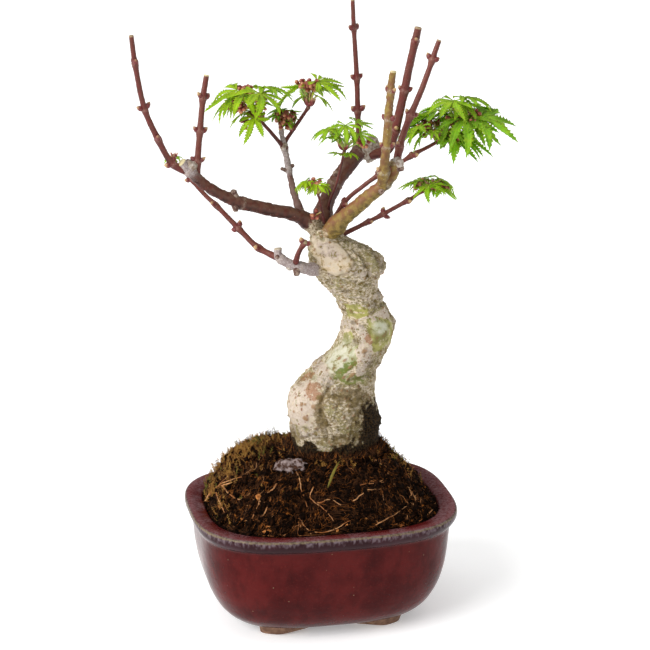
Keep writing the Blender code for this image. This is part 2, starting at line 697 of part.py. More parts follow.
def main():
    for old in list(bpy.data.objects):
        bpy.data.objects.remove(old)
    glaze = material("oxblood_glaze", (0.16, 0.012, 0.014), 0.18)
    peat = material("moist_peat", (0.035, 0.02, 0.012), 0.95)
    pale = material("pale_bark", (0.52, 0.44, 0.31), 0.8)
    barks = {
        "brown_bark": material("brown_bark", (0.16, 0.06, 0.04), 0.55),
        "grey_bark": material("grey_bark", (0.36, 0.3, 0.27), 0.75),
        "olive_bark": material("olive_bark", (0.3, 0.2, 0.06), 0.5),
        "red_bark": material("red_bark", (0.17, 0.045, 0.035), 0.5),
    }
    green = material("young_leaf", (0.22, 0.5, 0.03), 0.5)

    made = [make_pot(glaze), make_soil(peat), lofted("trunk", trunk_rings(), pale)]
    thick = [lofted("trunk_thick", trunk_rings(GAP), pale)]
    for name, limb in LIMBS.items():
        surface = barks[limb["bark"]]
        burrs = [(np.array(middle), np.array(half)) for owner, middle, half in BURRS if owner == name]
        branch = make_limb(name, limb, surface)
        fuse(branch, [ball("burr", middle, half, surface) for middle, half in burrs]
             + make_buds(name, limb, surface))
        cut_clear(branch, thick)
        made.append(branch)
        thick.append(thick_limb(name, limb, surface))
        thick += [ball("burr_thick", middle, half + GAP, surface) for middle, half in burrs]
    limbs, taken = limb_lines(), []
    for name, mass in MASSES.items():
        foliage = make_mass(name, mass, limbs, taken, green)
        cut_clear(foliage, thick)
        made.append(foliage)
    for helper in thick:
        bpy.data.objects.remove(helper)

    corners = np.concatenate([[tuple(v.co) for v in each.data.vertices] for each in made])
    middle = (corners.min(axis=0) + corners.max(axis=0)) / 2
    stand = bpy.data.objects.new("plant", None)
    bpy.context.scene.collection.objects.link(stand)
    stand.location = (-middle[0], -middle[1], 0)
    for each in made:
        each.parent = stand
        each.data.shade_smooth()
        each.data.set_sharp_from_angle(angle=math.radians(40))


main()
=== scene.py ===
"""The finish of a small potted maple bonsai in young leaf, laid out as an add-on.

Unless a name says otherwise, sizes are millimetres from a point on the floor under the pot's
centre, as in the part's own source: +X to the right, +Y away and +Z up. A mesh is moved into the
frame and turned into metres when it is made.
"""

import itertools
import math

import bpy
import numpy as np
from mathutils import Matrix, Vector


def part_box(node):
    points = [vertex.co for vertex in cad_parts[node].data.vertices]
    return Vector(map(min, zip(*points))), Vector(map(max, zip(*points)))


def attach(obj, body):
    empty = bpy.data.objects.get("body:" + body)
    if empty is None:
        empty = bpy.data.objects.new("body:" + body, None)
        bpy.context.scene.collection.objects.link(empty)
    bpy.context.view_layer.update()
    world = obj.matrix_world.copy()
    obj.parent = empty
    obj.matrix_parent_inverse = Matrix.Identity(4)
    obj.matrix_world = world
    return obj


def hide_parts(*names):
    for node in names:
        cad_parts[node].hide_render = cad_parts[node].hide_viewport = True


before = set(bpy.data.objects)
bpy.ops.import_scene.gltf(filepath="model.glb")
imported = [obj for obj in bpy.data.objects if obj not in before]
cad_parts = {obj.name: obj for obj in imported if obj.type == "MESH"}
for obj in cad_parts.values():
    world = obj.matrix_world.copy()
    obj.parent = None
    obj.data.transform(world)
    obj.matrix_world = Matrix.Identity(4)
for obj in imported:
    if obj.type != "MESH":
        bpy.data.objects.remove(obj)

bl_info = {
    "name": "Potted maple bonsai",
    "version": (1, 0, 0),
    "blender": (4, 5, 0),
    "location": "View3D > Sidebar > Bonsai",
    "description": "Builds the bonsai's pot, soil, bark, buds and leaves",
    "category": "Object",
}

MM = 0.001
UP = np.array([0.0, 0.0, 1.0])
AWAY = np.array([0.1, 1.0, 0.2])

# The pot: a rounded rectangle seen from above, turned a little to the left
POT_HALF_WIDTH = 70.5
POT_HALF_DEPTH = 59.0
POT_TURN = math.radians(12)
POT_SQUARENESS = 3.1
RIM_HEIGHT = 62.0
RIM_FLAT = 9.0
FOOT_HEIGHT = 4.0
# Where each foot starts and ends along the outline, in degrees; it thins out towards its end
FEET = [(222, 262), (318, 277), (42, 82), (138, 97)]
DRAIN_RADIUS = 6.0
FLOOR_HEIGHT = 9.0
# How far the outside and the inside lie inside the lip's edge, and at what height
POT_OUTSIDE = [
    (24.5, FOOT_HEIGHT), (20.0, 5.6), (14.6, 10.5), (10.8, 16.5), (8.0, 23.5), (5.9, 31.5),
    (4.7, 40.0), (4.1, 48.0), (3.6, 53.5), (1.9, 55.5), (0.5, 58.0), (0.0, 60.2), (0.4, 61.6),
    (1.3, RIM_HEIGHT), (3.6, 62.0), (6.6, 61.6), (8.6, 61.1), (9.3, 60.4),
]
POT_INSIDE = [(9.9, 59.0), (10.3, 48.0), (12.0, 28.0), (16.5, 14.0), (24.0, FLOOR_HEIGHT)]
# A foot's cross-section, from its outer top round its underside to its inner top
FOOT_SECTION = [
    (20.6, 6.0), (21.9, 3.8), (22.7, 1.8), (23.3, 0.5), (24.4, 0.05), (32.6, 0.05), (33.8, 0.6),
    (34.6, 2.4), (35.5, 6.0),
]
POT_COLUMNS = 360

# The soil
SOIL_EDGE = RIM_HEIGHT - 2.0
SOIL_INSET = 10.2
MOSS_BANK = 11.0
RIGHT_DIP = 7.0
SEAT_MARGIN = 1.5
# Roots that lie on the peat, seen from above
ROOTLETS = [
    [(-45, -11), (-52, -6), (-55, -8), (-51, -24), (-49, -36)], [(-61, -3), (-57, -1), (-44, -10), (-36, -18)],
    [(-20, -25), (-24, -30), (-26, -37), (-29, -42), (-33, -43)], [(-15, -16), (-10, -24), (-8, -33), (-5, -42)],
    [(-3, -33), (-5, -38), (0, -42), (5, -45)], [(15, -33), (23, -28), (31, -25), (32, -19)],
    [(17, -36), (25, -31), (31, -27)], [(29, -42), (38, -38), (44, -32), (47, -30)],
    [(47, -19), (49, -22), (47, -27)], [(61, -10), (59, -19), (51, -31)], [(-5, -50), (2, -48), (10, -45), (16, -43)],
    [(-30, -12), (-29, -23)], [(-1, -39), (5, -38), (11, -40)], [(-24, -30), (-31, -36), (-34, -44)],
    [(-52, -6), (-46, -22), (-40, -30)], [(50, 20), (44, 34), (30, 46)], [(-20, 48), (-34, 44), (-44, 30)],
]
SURFACE_ROOT = ((-15.5, -15.0), (7.6, 5.6, 3.8))
# Bright crumbs: place and size, the last one green; and a dry blade of grass from foot to tip
CRUMB_SPOTS = [
    (-31.5, -33, 1.9), (-25.5, -49, 2.2), (-28, -50, 1.4), (14, -45, 1.1), (-52, -22, 1.2), (36, -24, 1.0),
    (9, -47, 0.9), (42, -38, 0.9), (-40, -41, 1.0), (-6, -28, 0.9), (24, -40, 0.8), (-18, -34, 0.7),
]
GRASS = ((4.0, -33.0, 79.5), (10.5, -27.0, 93.0))
GAP = 0.3

# The trunk: height, middle in X and Y, half width and half depth, from the flat cut up
TRUNK_CUT = 86.0
TRUNK_RINGS = [
    (86.0, 7.6, 10.0, 22.8, 20.5), (92.0, 7.5, 10.0, 21.9, 19.8), (98.0, 7.4, 9.8, 22.6, 19.8),
    (105.0, 7.7, 9.7, 23.5, 20.2), (112.0, 6.4, 9.4, 23.1, 20.2), (120.0, 7.0, 9.5, 22.0, 19.5),
    (127.0, 10.2, 10.6, 19.4, 17.8), (132.0, 13.0, 11.7, 17.0, 16.2), (138.0, 19.0, 13.7, 15.0, 15.0),
    (146.0, 23.6, 15.4, 14.1, 14.4), (155.0, 25.7, 16.0, 13.0, 13.6), (164.0, 22.7, 15.0, 12.2, 12.8),
    (172.5, 18.7, 13.7, 12.5, 12.8), (180.0, 14.8, 12.4, 15.4, 14.8), (186.0, 14.5, 12.2, 17.8, 16.2),
    (192.5, 13.0, 11.6, 17.6, 15.8), (198.0, 8.4, 10.1, 13.6, 13.2), (203.0, 4.2, 9.2, 8.8, 9.6),
    (208.0, 2.8, 9.0, 6.2, 7.4),
]
TRUNK_ROWS = 290
TRUNK_COLUMNS = 320
FLARE_HEIGHT = 12.0
FLARES = [(228, 3.2), (292, 1.8), (345, 2.2), (60, 2.0), (140, 2.4)]
KNOBS = [
    (5, 187, 2.2, 6.0), (195, 190, 1.6, 8.0), (215, 104, 1.6, 11.0), (300, 150, 1.6, 8.0),
    (120, 150, 2.0, 9.0), (340, 104, 1.4, 9.0), (80, 112, 1.8, 12.0), (70, 186, 1.8, 9.0),
]
# Places on the bark, with how soft each kind's edge is: direction in degrees, height, half width
# and half height, tilt in degrees
BARK_MARKS = {
    "olive": ([(300, 151.5, 11.5, 9.0, -8), (252, 163.8, 7.0, 4.8, 15), (222, 149.5, 3.5, 4.5, 30),
               (262, 140.0, 3.4, 7.0, 8), (120, 150, 9.0, 8.0, 20), (60, 160, 8.0, 6.0, -20)], 0.15),
    "sage": ([(230, 138.5, 8.5, 9.0, 20), (297, 155.5, 4.4, 3.4, 0), (20, 132, 8.0, 7.0, 0)], 0.5),
    "vivid": ([(287, 130.2, 8.5, 2.8, -5), (262, 134.0, 3.2, 4.4, -20), (60, 128, 9.0, 4.0, 0)], 0.4),
    "white": ([(222, 115.0, 12.0, 12.5, 0), (318, 161.2, 7.5, 2.8, 8), (301, 185.2, 3.4, 2.0, 0),
               (135, 108, 12.0, 10.0, 0)], 0.25),
    "lilac": ([(226, 104.0, 10.0, 6.5, 0), (252, 199.0, 6.0, 5.0, -20)], 0.5),
    "rust": ([(238, 123.0, 7.0, 3.2, -38), (200, 128.0, 5.0, 2.4, 20), (272, 150.0, 1.6, 3.0, 30)], 0.5),
    # brown: partly the bark's own brown, partly painted shade on the lower bulge and low on the trunk
    "brown": ([(298, 120.5, 15.0, 5.0, -12), (315, 108.0, 9.0, 12.0, 0), (254, 112.0, 3.0, 9.0, 5),
               (285, 98.0, 12.0, 5.0, 0), (190, 96.0, 12.0, 4.0, 0), (60, 104, 16.0, 9.0, 0)], 0.5),
    "damp": ([(333, 101, 11.0, 16.0, 12), (0, 97, 12.0, 10.0, 0), (170, 92, 12.0, 5.0, 0)], 0.9),
}
SMOOTH_PATCHES = [
    (252, 195.0, 10.0, 10.0, -12), (222, 114.0, 12.5, 12.5, 0), (75, 193, 9.0, 8.0, 0),
]
# Single warts: direction, height and half width
WARTS = [
    (233, 138.8, 1.0), (247, 138.4, 0.9), (267, 135.7, 0.9), (283, 132.0, 1.3), (271, 130.9, 0.8), (280, 130.2, 0.8),
    (230, 116.5, 0.9), (236, 109.9, 1.5), (210, 104.8, 0.8), (246, 116.4, 1.2), (273, 143.9, 1.3), (331, 150.0, 0.9),
]
# Swellings with an edge of their own: direction, height, half sizes, tilt and how far they stand out
SWELLINGS = [
    (252, 194.6, 10.8, 11.0, -12, 1.9), (331, 189.5, 8.0, 7.6, 0, 2.2), (222, 114.6, 13.5, 13.8, 0, 2.0),
    (286, 110.5, 12.5, 13.0, 8, 2.0), (243, 137.5, 9.0, 9.2, 25, 0.9), (100, 114, 13.0, 13.0, 0, 1.3),
    (60, 190, 10.0, 9.0, 10, 1.2), (130, 140, 10.0, 9.0, -20, 0.9), (30, 128, 10.0, 8.0, 20, 1.0),
]
# Raised bands and grooves: points as direction and height, half width, how far they stand out
RIDGES = [
    ([(184, 153.6), (224, 156.6), (247, 156.2), (260, 152.4), (269, 147.6), (275, 142.5), (286, 138.5),
      (296, 133.5)], 3.1, 1.3),
    ([(231, 158.0), (258, 160.6), (282, 162.0), (290, 160.3)], 0.6, 0.5),
    ([(159, 133.3), (200, 133.8), (232, 131.6), (254, 127.6)], 2.0, 0.9),
    ([(267, 125.6), (293, 123.8), (325, 119.5), (345, 113)], 1.3, 0.6),
]
GROOVES = [
    ([(256, 126.5), (255, 118.0), (257, 108.0), (262, 100.0)], 0.8, -0.9),
    ([(331, 191.5), (338, 188.5)], 1.5, -1.2),
    ([(236, 186.5), (250, 184.6), (270, 187.0), (287, 192.5), (294, 199.0)], 0.8, -0.5),
    ([(313, 197), (306, 191), (309, 184)], 1.3, -1.5),
    ([(277, 117.5), (273, 111), (275, 104)], 0.5, -0.5),
    ([(267, 123), (290, 121), (312, 115), (322, 104)], 0.6, -0.9),
    ([(268, 118.5), (296, 117), (308, 109)], 0.5, -0.7), ([(283, 115), (292, 107), (290, 98)], 0.5, -0.6),
    ([(262, 112), (266, 104), (272, 97)], 0.5, -0.6),
    ([(100, 132), (140, 128), (175, 131)], 1.0, -0.8),
]
WRINKLES = [(173.0, 9.0, 0.65), (122, 5.0, 0.4), (187.0, 5.0, 0.35)]

# The limbs, as in the part's source: path, width at foot and tip, swellings, buds and their twist
LIMBS = {
    "left_bough": dict(
        bark="brown_bark",
        path=[(0, 9, 205), (-10, 4, 215), (-25, -4, 220.5), (-42, -12, 226.7), (-57, -18, 236.3),
              (-69, -21.5, 249)],
        width=(7.6, 5.0), swell=[(0.55, 0.18), (0.93, 0.3)]),
    "left_long_shoot": dict(
        bark="red_bark",
        path=[(-65, -20.5, 243), (-73.5, -23, 249), (-80, -26, 262), (-86, -29, 278),
              (-89.5, -32, 299.5), (-91, -33, 314)],
        width=(3.3, 2.4), swell=[(0.12, 0.35), (0.31, 0.3), (0.52, 0.25), (0.82, 0.35)],
        buds=20, twist=90),
    "left_upright_shoot": dict(
        bark="red_bark",
        path=[(-61.2, -18.5, 241), (-61, -17, 248), (-59.5, -15, 264), (-58, -13, 279),
              (-56, -11, 291)],
        width=(3.3, 2.7), swell=[(0.14, 0.3), (0.44, 0.35), (0.76, 0.35)], buds=0, twist=20),
    "lower_left_bough": dict(
        bark="grey_bark",
        path=[(2, 3, 186), (-11, -4, 190.5), (-17.5, -4, 193), (-21, -3, 196), (-21.5, -2.5, 200)],
        width=(6.2, 4.2), swell=[(0.45, 0.18), (0.8, 0.2)]),
    "lower_left_shoot": dict(
        bark="red_bark",
        path=[(-20.5, -2, 194), (-32, 2, 199.3), (-41, 5, 207.6), (-53, 8, 219.6),
              (-60, 10, 226), (-73, 12, 241)],
        width=(3.3, 1.9), swell=[(0.17, 0.35), (0.37, 0.35), (0.6, 0.35), (0.85, 0.3)],
        buds=90, twist=90),
    "front_twig": dict(
        bark="red_bark",
        path=[(-12.5, -5, 192), (-10.5, -9, 199.5), (-7, -12, 206)],
        width=(2.8, 2.4), swell=[(0.9, 0.35)], buds=0, twist=0),
    "inner_left_bough": dict(
        bark="grey_bark",
        path=[(-9, 4.5, 214.5), (-14, 12, 228.5), (-15.8, 15, 237), (-17.8, 17, 246.6),
              (-19.8, 18, 258.4)],
        width=(3.6, 2.6), swell=[(0.55, 0.3), (0.78, 0.35)]),
    "centre_bough": dict(
        bark="brown_bark",
        path=[(1, 12, 204), (2, 15, 214.7), (4.4, 18, 221.5), (8, 21, 228.3), (13.7, 24, 236),
              (19.5, 26, 242.6), (23.5, 26.5, 248)],
        width=(8.6, 7.6), swell=[(0.5, 0.06), (0.93, 0.3)]),
    "tall_shoot": dict(
        bark="red_bark",
        path=[(21, 27, 247), (19.9, 26, 261), (19.2, 25, 282.5), (17.6, 23, 308), (16.8, 22, 324)],
        width=(3.1, 2.1), swell=[(0.24, 0.4), (0.465, 0.4), (0.8, 0.4)], buds=0, twist=25),
    "thick_red_shoot": dict(
        bark="red_bark",
        path=[(27, 23, 243), (35.2, 18.5, 247), (38.3, 17.5, 255), (42.7, 15.5, 275),
              (45.6, 14.5, 290), (50, 13.5, 311)],
        width=(5.0, 3.7), swell=[(0.28, 0.2), (0.56, 0.2), (0.9, 0.2)], buds=90, twist=90),
    "right_bough": dict(
        bark="olive_bark",
        path=[(3, 6, 203), (11, -1, 214), (18.6, -6, 222), (26, -10, 229.5), (32.5, -12, 235.5),
              (36.8, -12, 241), (38.6, -11, 247)],
        width=(9.4, 5.4), swell=[(0.8, 0.12), (0.97, 0.3)]),
    "right_upright_shoot": dict(
        bark="olive_bark",
        path=[(31.5, -14, 236), (32.6, -17, 248), (33.7, -18, 260.5), (34.6, -18, 274.6),
              (36.4, -17, 294)],
        width=(4.9, 3.5), swell=[(0.12, 0.2), (0.34, 0.12), (0.58, 0.12), (0.82, 0.15)],
        buds=200, twist=-25),
    "right_red_shoot": dict(
        bark="red_bark",
        path=[(38.5, -10.5, 245), (41, -8, 256.4), (45, -6, 267.7), (52, -3, 284), (60, 1, 306.5)],
        width=(3.7, 2.5), swell=[(0.14, 0.3), (0.39, 0.45), (0.84, 0.45)], buds=60, twist=-40),
    "long_thin_bough": dict(
        bark="red_bark",
        path=[(5.5, 11, 209.5), (13.7, 8, 222.5), (21.4, 7, 229.5), (30.5, 6, 236.5),
              (40.8, 8, 242), (48.7, 12, 246)],
        width=(2.4, 2.1), swell=[(0.22, 0.35), (0.62, 0.3), (0.96, 0.5)], buds=110, twist=90),
    "lower_right_bough": dict(
        bark="red_bark",
        path=[(9, 12, 202), (22.6, 16, 207.8), (31.5, 18, 212), (39.8, 20, 216.2), (46.6, 21, 219.7)],
        width=(2.5, 2.1), swell=[(0.42, 0.3), (0.63, 0.4), (0.96, 0.4)], buds=100, twist=90),
}
PALE_CUTS = {"left_upright_shoot", "right_upright_shoot", "inner_left_bough", "left_bough"}
LIMB_STEP = 0.5
LIMB_COLUMNS = 32
NODE_LENGTH = 2.2
COLLAR_LENGTH = 3.5
BUD_LENGTH = 4.2
BUD_WIDTH = 2.0
BURRS = [
    ("left_bough", (-64.5, -20.5, 246), (3.6, 3.2, 4.2)),
    ("centre_bough", (26.5, 25, 245.5), (4.6, 4.2, 7.6)),
    ("right_bough", (38.2, -11.2, 246.3), (3.6, 3.4, 3.6)),
    ("lower_left_bough", (-15.5, -4, 190), (2.8, 2.6, 2.4)),
    ("inner_left_bough", (-18.3, 17.2, 249), (2.1, 2.1, 2.6)),
]
# How much of a bough's foot has the trunk's scaly bark, and which stretch of one is weathered grey
ROOTED = {
    "left_bough": 9.0, "centre_bough": 5.0, "right_bough": 5.0, "lower_left_bough": 5.0,
    "inner_left_bough": 3.0, "long_thin_bough": 2.0, "lower_right_bough": 2.0,
}
WEATHERED = {"inner_left_bough": (0.45, 1.2), "lower_left_bough": (0.1, 1.2), "left_bough": (0.9, 1.2)}
# Stubs of twigs that were cut off: the limb, how far along it, which way, length and width
STUBS = [
    ("left_bough", 0.585, (-0.25, -0.2, 1.0), 6.4, 3.4), ("left_bough", 0.6, (0.1, -0.3, -1.0), 5.6, 3.2),
    ("left_bough", 0.9, (-0.5, 0.2, 1.0), 8.0, 4.4), ("inner_left_bough", 0.52, (-1.0, -0.3, 0.5), 5.0, 1.8),
    ("inner_left_bough", 0.56, (1.0, -0.2, 0.6), 3.4, 2.0), ("inner_left_bough", 0.78, (0.7, -0.8, 0.5), 3.0, 1.6),
    ("lower_left_bough", 0.52, (0.1, -0.5, -1.0), 5.2, 3.4), ("lower_left_bough", 0.8, (-0.6, -0.6, 0.5), 3.6, 2.4),
    ("centre_bough", 0.62, (-0.6, -0.8, 0.5), 5.6, 3.0), ("right_bough", 0.72, (0.3, -1.0, -0.2), 4.6, 2.8),
    ("right_bough", 0.93, (0.9, -0.4, 0.3), 5.0, 3.4), ("right_upright_shoot", 0.1, (-0.8, -0.6, 0.3), 3.6, 2.2),
]

# The foliage masses, as in the part's source, with the tone that each spray's leaves have
MASSES = {
    "upper_left_leaves": dict(
        seed=3, width=(2.1, 1.5), tones=("bright", "fresh", "bright"),
        stem=[(-18.5, 17, 248.5), (-25, 14, 257), (-29.5, 11, 263), (-32.5, 9, 268.5)],
        sprays=[
            dict(at=1.0, leaves=5, size=20, first=115, sweep=180, stalk=14, rise=48, hang=20, flowers=5),
            dict(at=1.0, leaves=2, size=17, first=-30, sweep=70, stalk=12, rise=66, hang=12, flowers=1),
            dict(at=0.8, leaves=2, size=14, first=170, sweep=100, stalk=9, rise=24, hang=34, flowers=2),
        ]),
    "inner_left_leaves": dict(
        seed=8, width=(2.1, 1.7), tones=("bright", "fresh"),
        stem=[(-18, 18, 251), (-12, 19.5, 259.5), (-5.4, 21, 269)],
        sprays=[
            dict(at=1.0, leaves=6, size=21, first=-25, sweep=310, stalk=13, rise=62, hang=20, flowers=2),
            dict(at=0.3, leaves=4, size=11, first=70, sweep=150, stalk=12, rise=62, hang=14, flowers=3),
        ]),
    "centre_leaves": dict(
        seed=5, width=(1.7, 1.3), tones=("fresh", "bright"),
        stem=[(4.6, 12.5, 216), (5.6, 10.5, 222), (8.6, 9, 230.5), (11, 8, 240.4), (12.8, 7.5, 249)],
        sprays=[
            dict(at=1.0, leaves=5, size=13, first=140, sweep=270, stalk=14, rise=58, hang=24, flowers=1),
            dict(at=0.9, leaves=2, size=7, first=170, sweep=200, stalk=4, rise=30, hang=0, flowers=0),
        ]),
    "small_centre_leaves": dict(
        seed=11, width=(1.6, 1.2), tones=("bright", "bright"),
        stem=[(2.5, 3.5, 211.5), (1, 1.5, 220), (-0.8, 0, 228)],
        sprays=[
            dict(at=1.0, leaves=4, size=9, first=100, sweep=180, stalk=9, rise=52, hang=30, flowers=2),
            dict(at=0.4, leaves=1, size=7, first=200, sweep=10, stalk=4, rise=0, hang=30, flowers=1),
        ]),
    "right_leaves": dict(
        seed=4, width=(2.1, 1.6), tones=("deep", "fresh", "fresh", "deep"),
        stem=[(49.4, 12.3, 246.4), (59.2, 18, 250.3), (72, 24, 257.5)],
        sprays=[
            dict(at=1.0, leaves=6, size=25, first=-110, sweep=300, stalk=14, rise=36, hang=14, flowers=3),
            dict(at=1.0, leaves=2, size=19, first=200, sweep=190, stalk=15, rise=72, hang=4, flowers=0),
            dict(at=0.5, leaves=4, size=20, first=95, sweep=120, stalk=13, rise=52, hang=20, flowers=2),
            dict(at=0.7, leaves=2, size=20, first=-80, sweep=100, stalk=8, rise=6, hang=30, flowers=2),
        ]),
    "lower_right_leaves": dict(
        seed=6, width=(2.0, 1.6), tones=("fresh",),
        stem=[(47.3, 21.1, 220), (52.3, 22, 223.3), (58, 22, 225)],
        sprays=[
            dict(at=1.0, leaves=6, size=14, first=-130, sweep=320, stalk=7, rise=40, hang=22, flowers=2),
        ]),
    "left_tip_leaves": dict(
        seed=2, width=(1.6, 1.3), tones=("fresh",),
        stem=[(-73.5, 12.1, 241.6), (-74.5, 12.3, 243), (-75, 12.4, 244.2)],
        sprays=[
            dict(at=1.0, leaves=2, size=8, first=20, sweep=330, stalk=2.5, rise=10, hang=10, flowers=0),
        ]),
}
# The masses that carry most of the flower buds
FLOWERING = {"upper_left_leaves", "inner_left_leaves", "right_leaves", "lower_right_leaves"}
SOURCE_LOBES = [(-84, 0.62), (-38, 0.9), (0, 1.0), (38, 0.9), (84, 0.62)]
LEAF_NOTCH = 0.3
LEAF_SAG = 0.22
LEAF_CLEARANCE = 0.9
# The finer leaf's lobes: direction from the midrib in degrees, and length as a share of the leaf
FINE_LOBES = [(-117, 0.4), (-78, 0.68), (-38, 0.92), (0, 1.0), (38, 0.92), (78, 0.68), (117, 0.4)]
FINE_NOTCH = 0.34
TEETH = 7


# Curves

def unit(vectors):
    return vectors / np.linalg.norm(vectors, axis=-1, keepdims=True)


def smooth_rows(rows, count):
    """Rows read off a smooth curve through the given rows, evenly between one and the next."""
    rows = np.asarray(rows, float)
    ends = np.vstack([2 * rows[0] - rows[1], rows, 2 * rows[-1] - rows[-2]])
    t = np.linspace(0, len(rows) - 1, count)
    i = np.minimum(t.astype(int), len(rows) - 2)
    f = (t - i)[:, None]
    a, b, c, d = ends[i], ends[i + 1], ends[i + 2], ends[i + 3]
    return 0.5 * (2 * b + (c - a) * f + (2 * a - 5 * b + 4 * c - d) * f**2
                  + (3 * b - 3 * c + d - a) * f**3)


def smooth_path(points, step):
    """Points at even steps along a smooth curve through the given ones."""
    dense = smooth_rows(points, 24 * len(points))
    along = np.concatenate([[0], np.cumsum(np.linalg.norm(np.diff(dense, axis=0), axis=1))])
    even = np.linspace(0, along[-1], max(3, math.ceil(along[-1] / step) + 1))
    return np.stack([np.interp(even, along, dense[:, k]) for k in range(3)], 1)


def bell(gap, wide):
    """1 where the gap is nothing, falling away over about the given distance."""
    return np.exp(-((gap / wide) ** 2))


def step_between(value, low, high):
    """0 below low, 1 above high and a smooth S between them."""
    share = np.clip((value - low) / (high - low), 0, 1)
    return share * share * (3 - 2 * share)


def angle_gap(first, second):
    """The smallest turn from one direction to the other, in degrees."""
    return (first - second + 180) % 360 - 180


# Scatter

def lattice_random(cell, seed):
    """A repeatable number from 0 to 1 for each whole-number place, by mixing its digits."""
    mixed = cell[..., 0] * 374761393 + cell[..., 1] * 668265263 + cell[..., 2] * 1103515245
    mixed = mixed + seed * 97463477
    mixed = (mixed ^ (mixed >> 13)) * 1274126177
    mixed = (mixed ^ (mixed >> 15)) * 2246822519
    return ((mixed ^ (mixed >> 16)) & 0xFFFFFF) / 0xFFFFFF


def noise(points, size, seed=0):
    """Smooth values from -1 to 1: numbers on a lattice of that size, blended between corners."""
    place = points / size
    cell = np.floor(place).astype(np.int64)
    share = place - cell
    share = share * share * (3 - 2 * share)
    total = 0.0
    for corner in itertools.product((0, 1), repeat=3):
        weight = np.prod(np.where(np.array(corner, bool), share, 1 - share), axis=-1)
        total = total + weight * lattice_random(cell + corner, seed)
    return total * 2 - 1


def layered(points, size, seed=0, layers=3):
    """Noise added up over ever finer layers, each half as strong as the one before."""
    return sum(noise(points, np.asarray(size) / 2**k, seed + k) / 2**k for k in range(layers))


def cells(points, size, seed=0):
    """How far each point is from the nearest of many scattered spots, and that spot's number."""
    place = points / size
    cell = np.floor(place).astype(np.int64)
    best = np.full(place.shape[:-1], 9.0)
    pick = np.zeros_like(best)
    for offset in itertools.product((-1, 0, 1), repeat=3):
        home = cell + offset
        spot = home + np.stack([lattice_random(home, seed + k) for k in range(3)], -1)
        far = np.linalg.norm(place - spot, axis=-1)
        pick = np.where(far < best, lattice_random(home, seed + 3), pick)
        best = np.minimum(best, far)
    return best, pick


# Meshes

def pot_middle():
    """Where the frame has the point under the pot's centre, in millimetres."""
    low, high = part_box("pot")
    return np.array([(low.x + high.x) / 2, (low.y + high.y) / 2, 0.0]) / MM


def grid_quads(rows, columns, closed_rows=False):
    """Four-sided faces over a grid of points numbered row by row, joined round each row."""
    row = np.arange(rows if closed_rows else rows - 1)[:, None]
    low, high = row * columns, (row + 1) % rows * columns
    here = np.arange(columns)
    after = (here + 1) % columns
    return np.stack([low + here, low + after, high + after, high + here], -1).reshape(-1, 4)


def tube_faces(count, rows, columns):
    """Faces of so many closed tubes, each its rings and then the middles of its foot and tip."""
    here = np.arange(columns)
    after = (here + 1) % columns
    foot, top = rows * columns, (rows - 1) * columns
    caps = np.concatenate([
        np.stack([after, here, np.full(columns, foot)], -1),
        np.stack([top + here, top + after, np.full(columns, foot + 1)], -1)])
    start = np.arange(count)[:, None, None] * (foot + 2)
    return [(grid_quads(rows, columns) + start).reshape(-1, 4), (caps + start).reshape(-1, 3)]


def with_ends(rings, reach=0.0):
    """The rings' points with a middle for each end, pushed out by a share of the end's size."""
    first, last = rings[:, 0].mean(axis=1), rings[:, -1].mean(axis=1)
    first = first + (first - rings[:, 1].mean(axis=1)) * reach
    last = last + (last - rings[:, -2].mean(axis=1)) * reach
    flat = rings.reshape(len(rings), -1, 3)
    return np.concatenate([flat, first[:, None], last[:, None]], axis=1).reshape(-1, 3)


def end_values(values):
    """Values on rings of equal columns, with one for each end's middle added."""
    count, rows, columns = values.shape
    ends = [values[:, 0].mean(axis=1)[:, None], values[:, -1].mean(axis=1)[:, None]]
    return np.concatenate([values.reshape(count, rows * columns), *ends], axis=1).ravel()


def circles_along(paths, radii, columns, reference=AWAY, flat=1.0):
    """Circles carried along paths: the path's point plus the radius times the cosine of the turn
    to one side and its sine to the other, which flat may press thinner."""
    ahead = unit(np.gradient(paths, axis=-2))
    side = unit(np.cross(ahead, reference))
    other = np.cross(ahead, side) * flat
    turn = (np.arange(columns) * 2 * math.pi / columns)[:, None]
    around = np.cos(turn) * side[..., None, :] + np.sin(turn) * other[..., None, :]
    return paths[..., None, :] + radii[..., None, None] * around


def outward(grid):
    """A closed grid's own outward directions, from its neighbours round and along it."""
    around = np.roll(grid, -1, axis=1) - np.roll(grid, 1, axis=1)
    return unit(np.cross(around, np.gradient(grid, axis=0)) + 1e-9)


def new_piece(name, points, faces, surfaces, worn=None, values=None):
    """A mesh object that rides on the plant, from points in millimetres and arrays of faces."""
    mesh = bpy.data.meshes.new(name)
    corners = np.concatenate([face.ravel() for face in faces])
    sizes = np.concatenate([np.full(len(face), face.shape[1]) for face in faces])
    mesh.vertices.add(len(points))
    mesh.loops.add(len(corners))
    mesh.polygons.add(len(sizes))
    placed = (points + pot_middle()) * MM
    mesh.vertices.foreach_set("co", placed.astype(np.float32).ravel())
    mesh.loops.foreach_set("vertex_index", corners.astype(np.int32))
    starts = np.concatenate([[0], np.cumsum(sizes)[:-1]])
    mesh.polygons.foreach_set("loop_start", starts.astype(np.int32))
    for surface in surfaces:
        mesh.materials.append(surface)
    if worn is not None:
        mesh.polygons.foreach_set("material_index", worn.astype(np.int32))
    for key, value in (values or {}).items():
        kept = mesh.attributes.new(key, "FLOAT", "POINT")
        kept.data.foreach_set("value", np.asarray(value, np.float32).ravel())
    mesh.update(calc_edges=True)
    mesh.shade_smooth()
    piece = bpy.data.objects.new(name, mesh)
    bpy.context.scene.collection.objects.link(piece)
    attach(piece, "root")
    return piece


# Materials

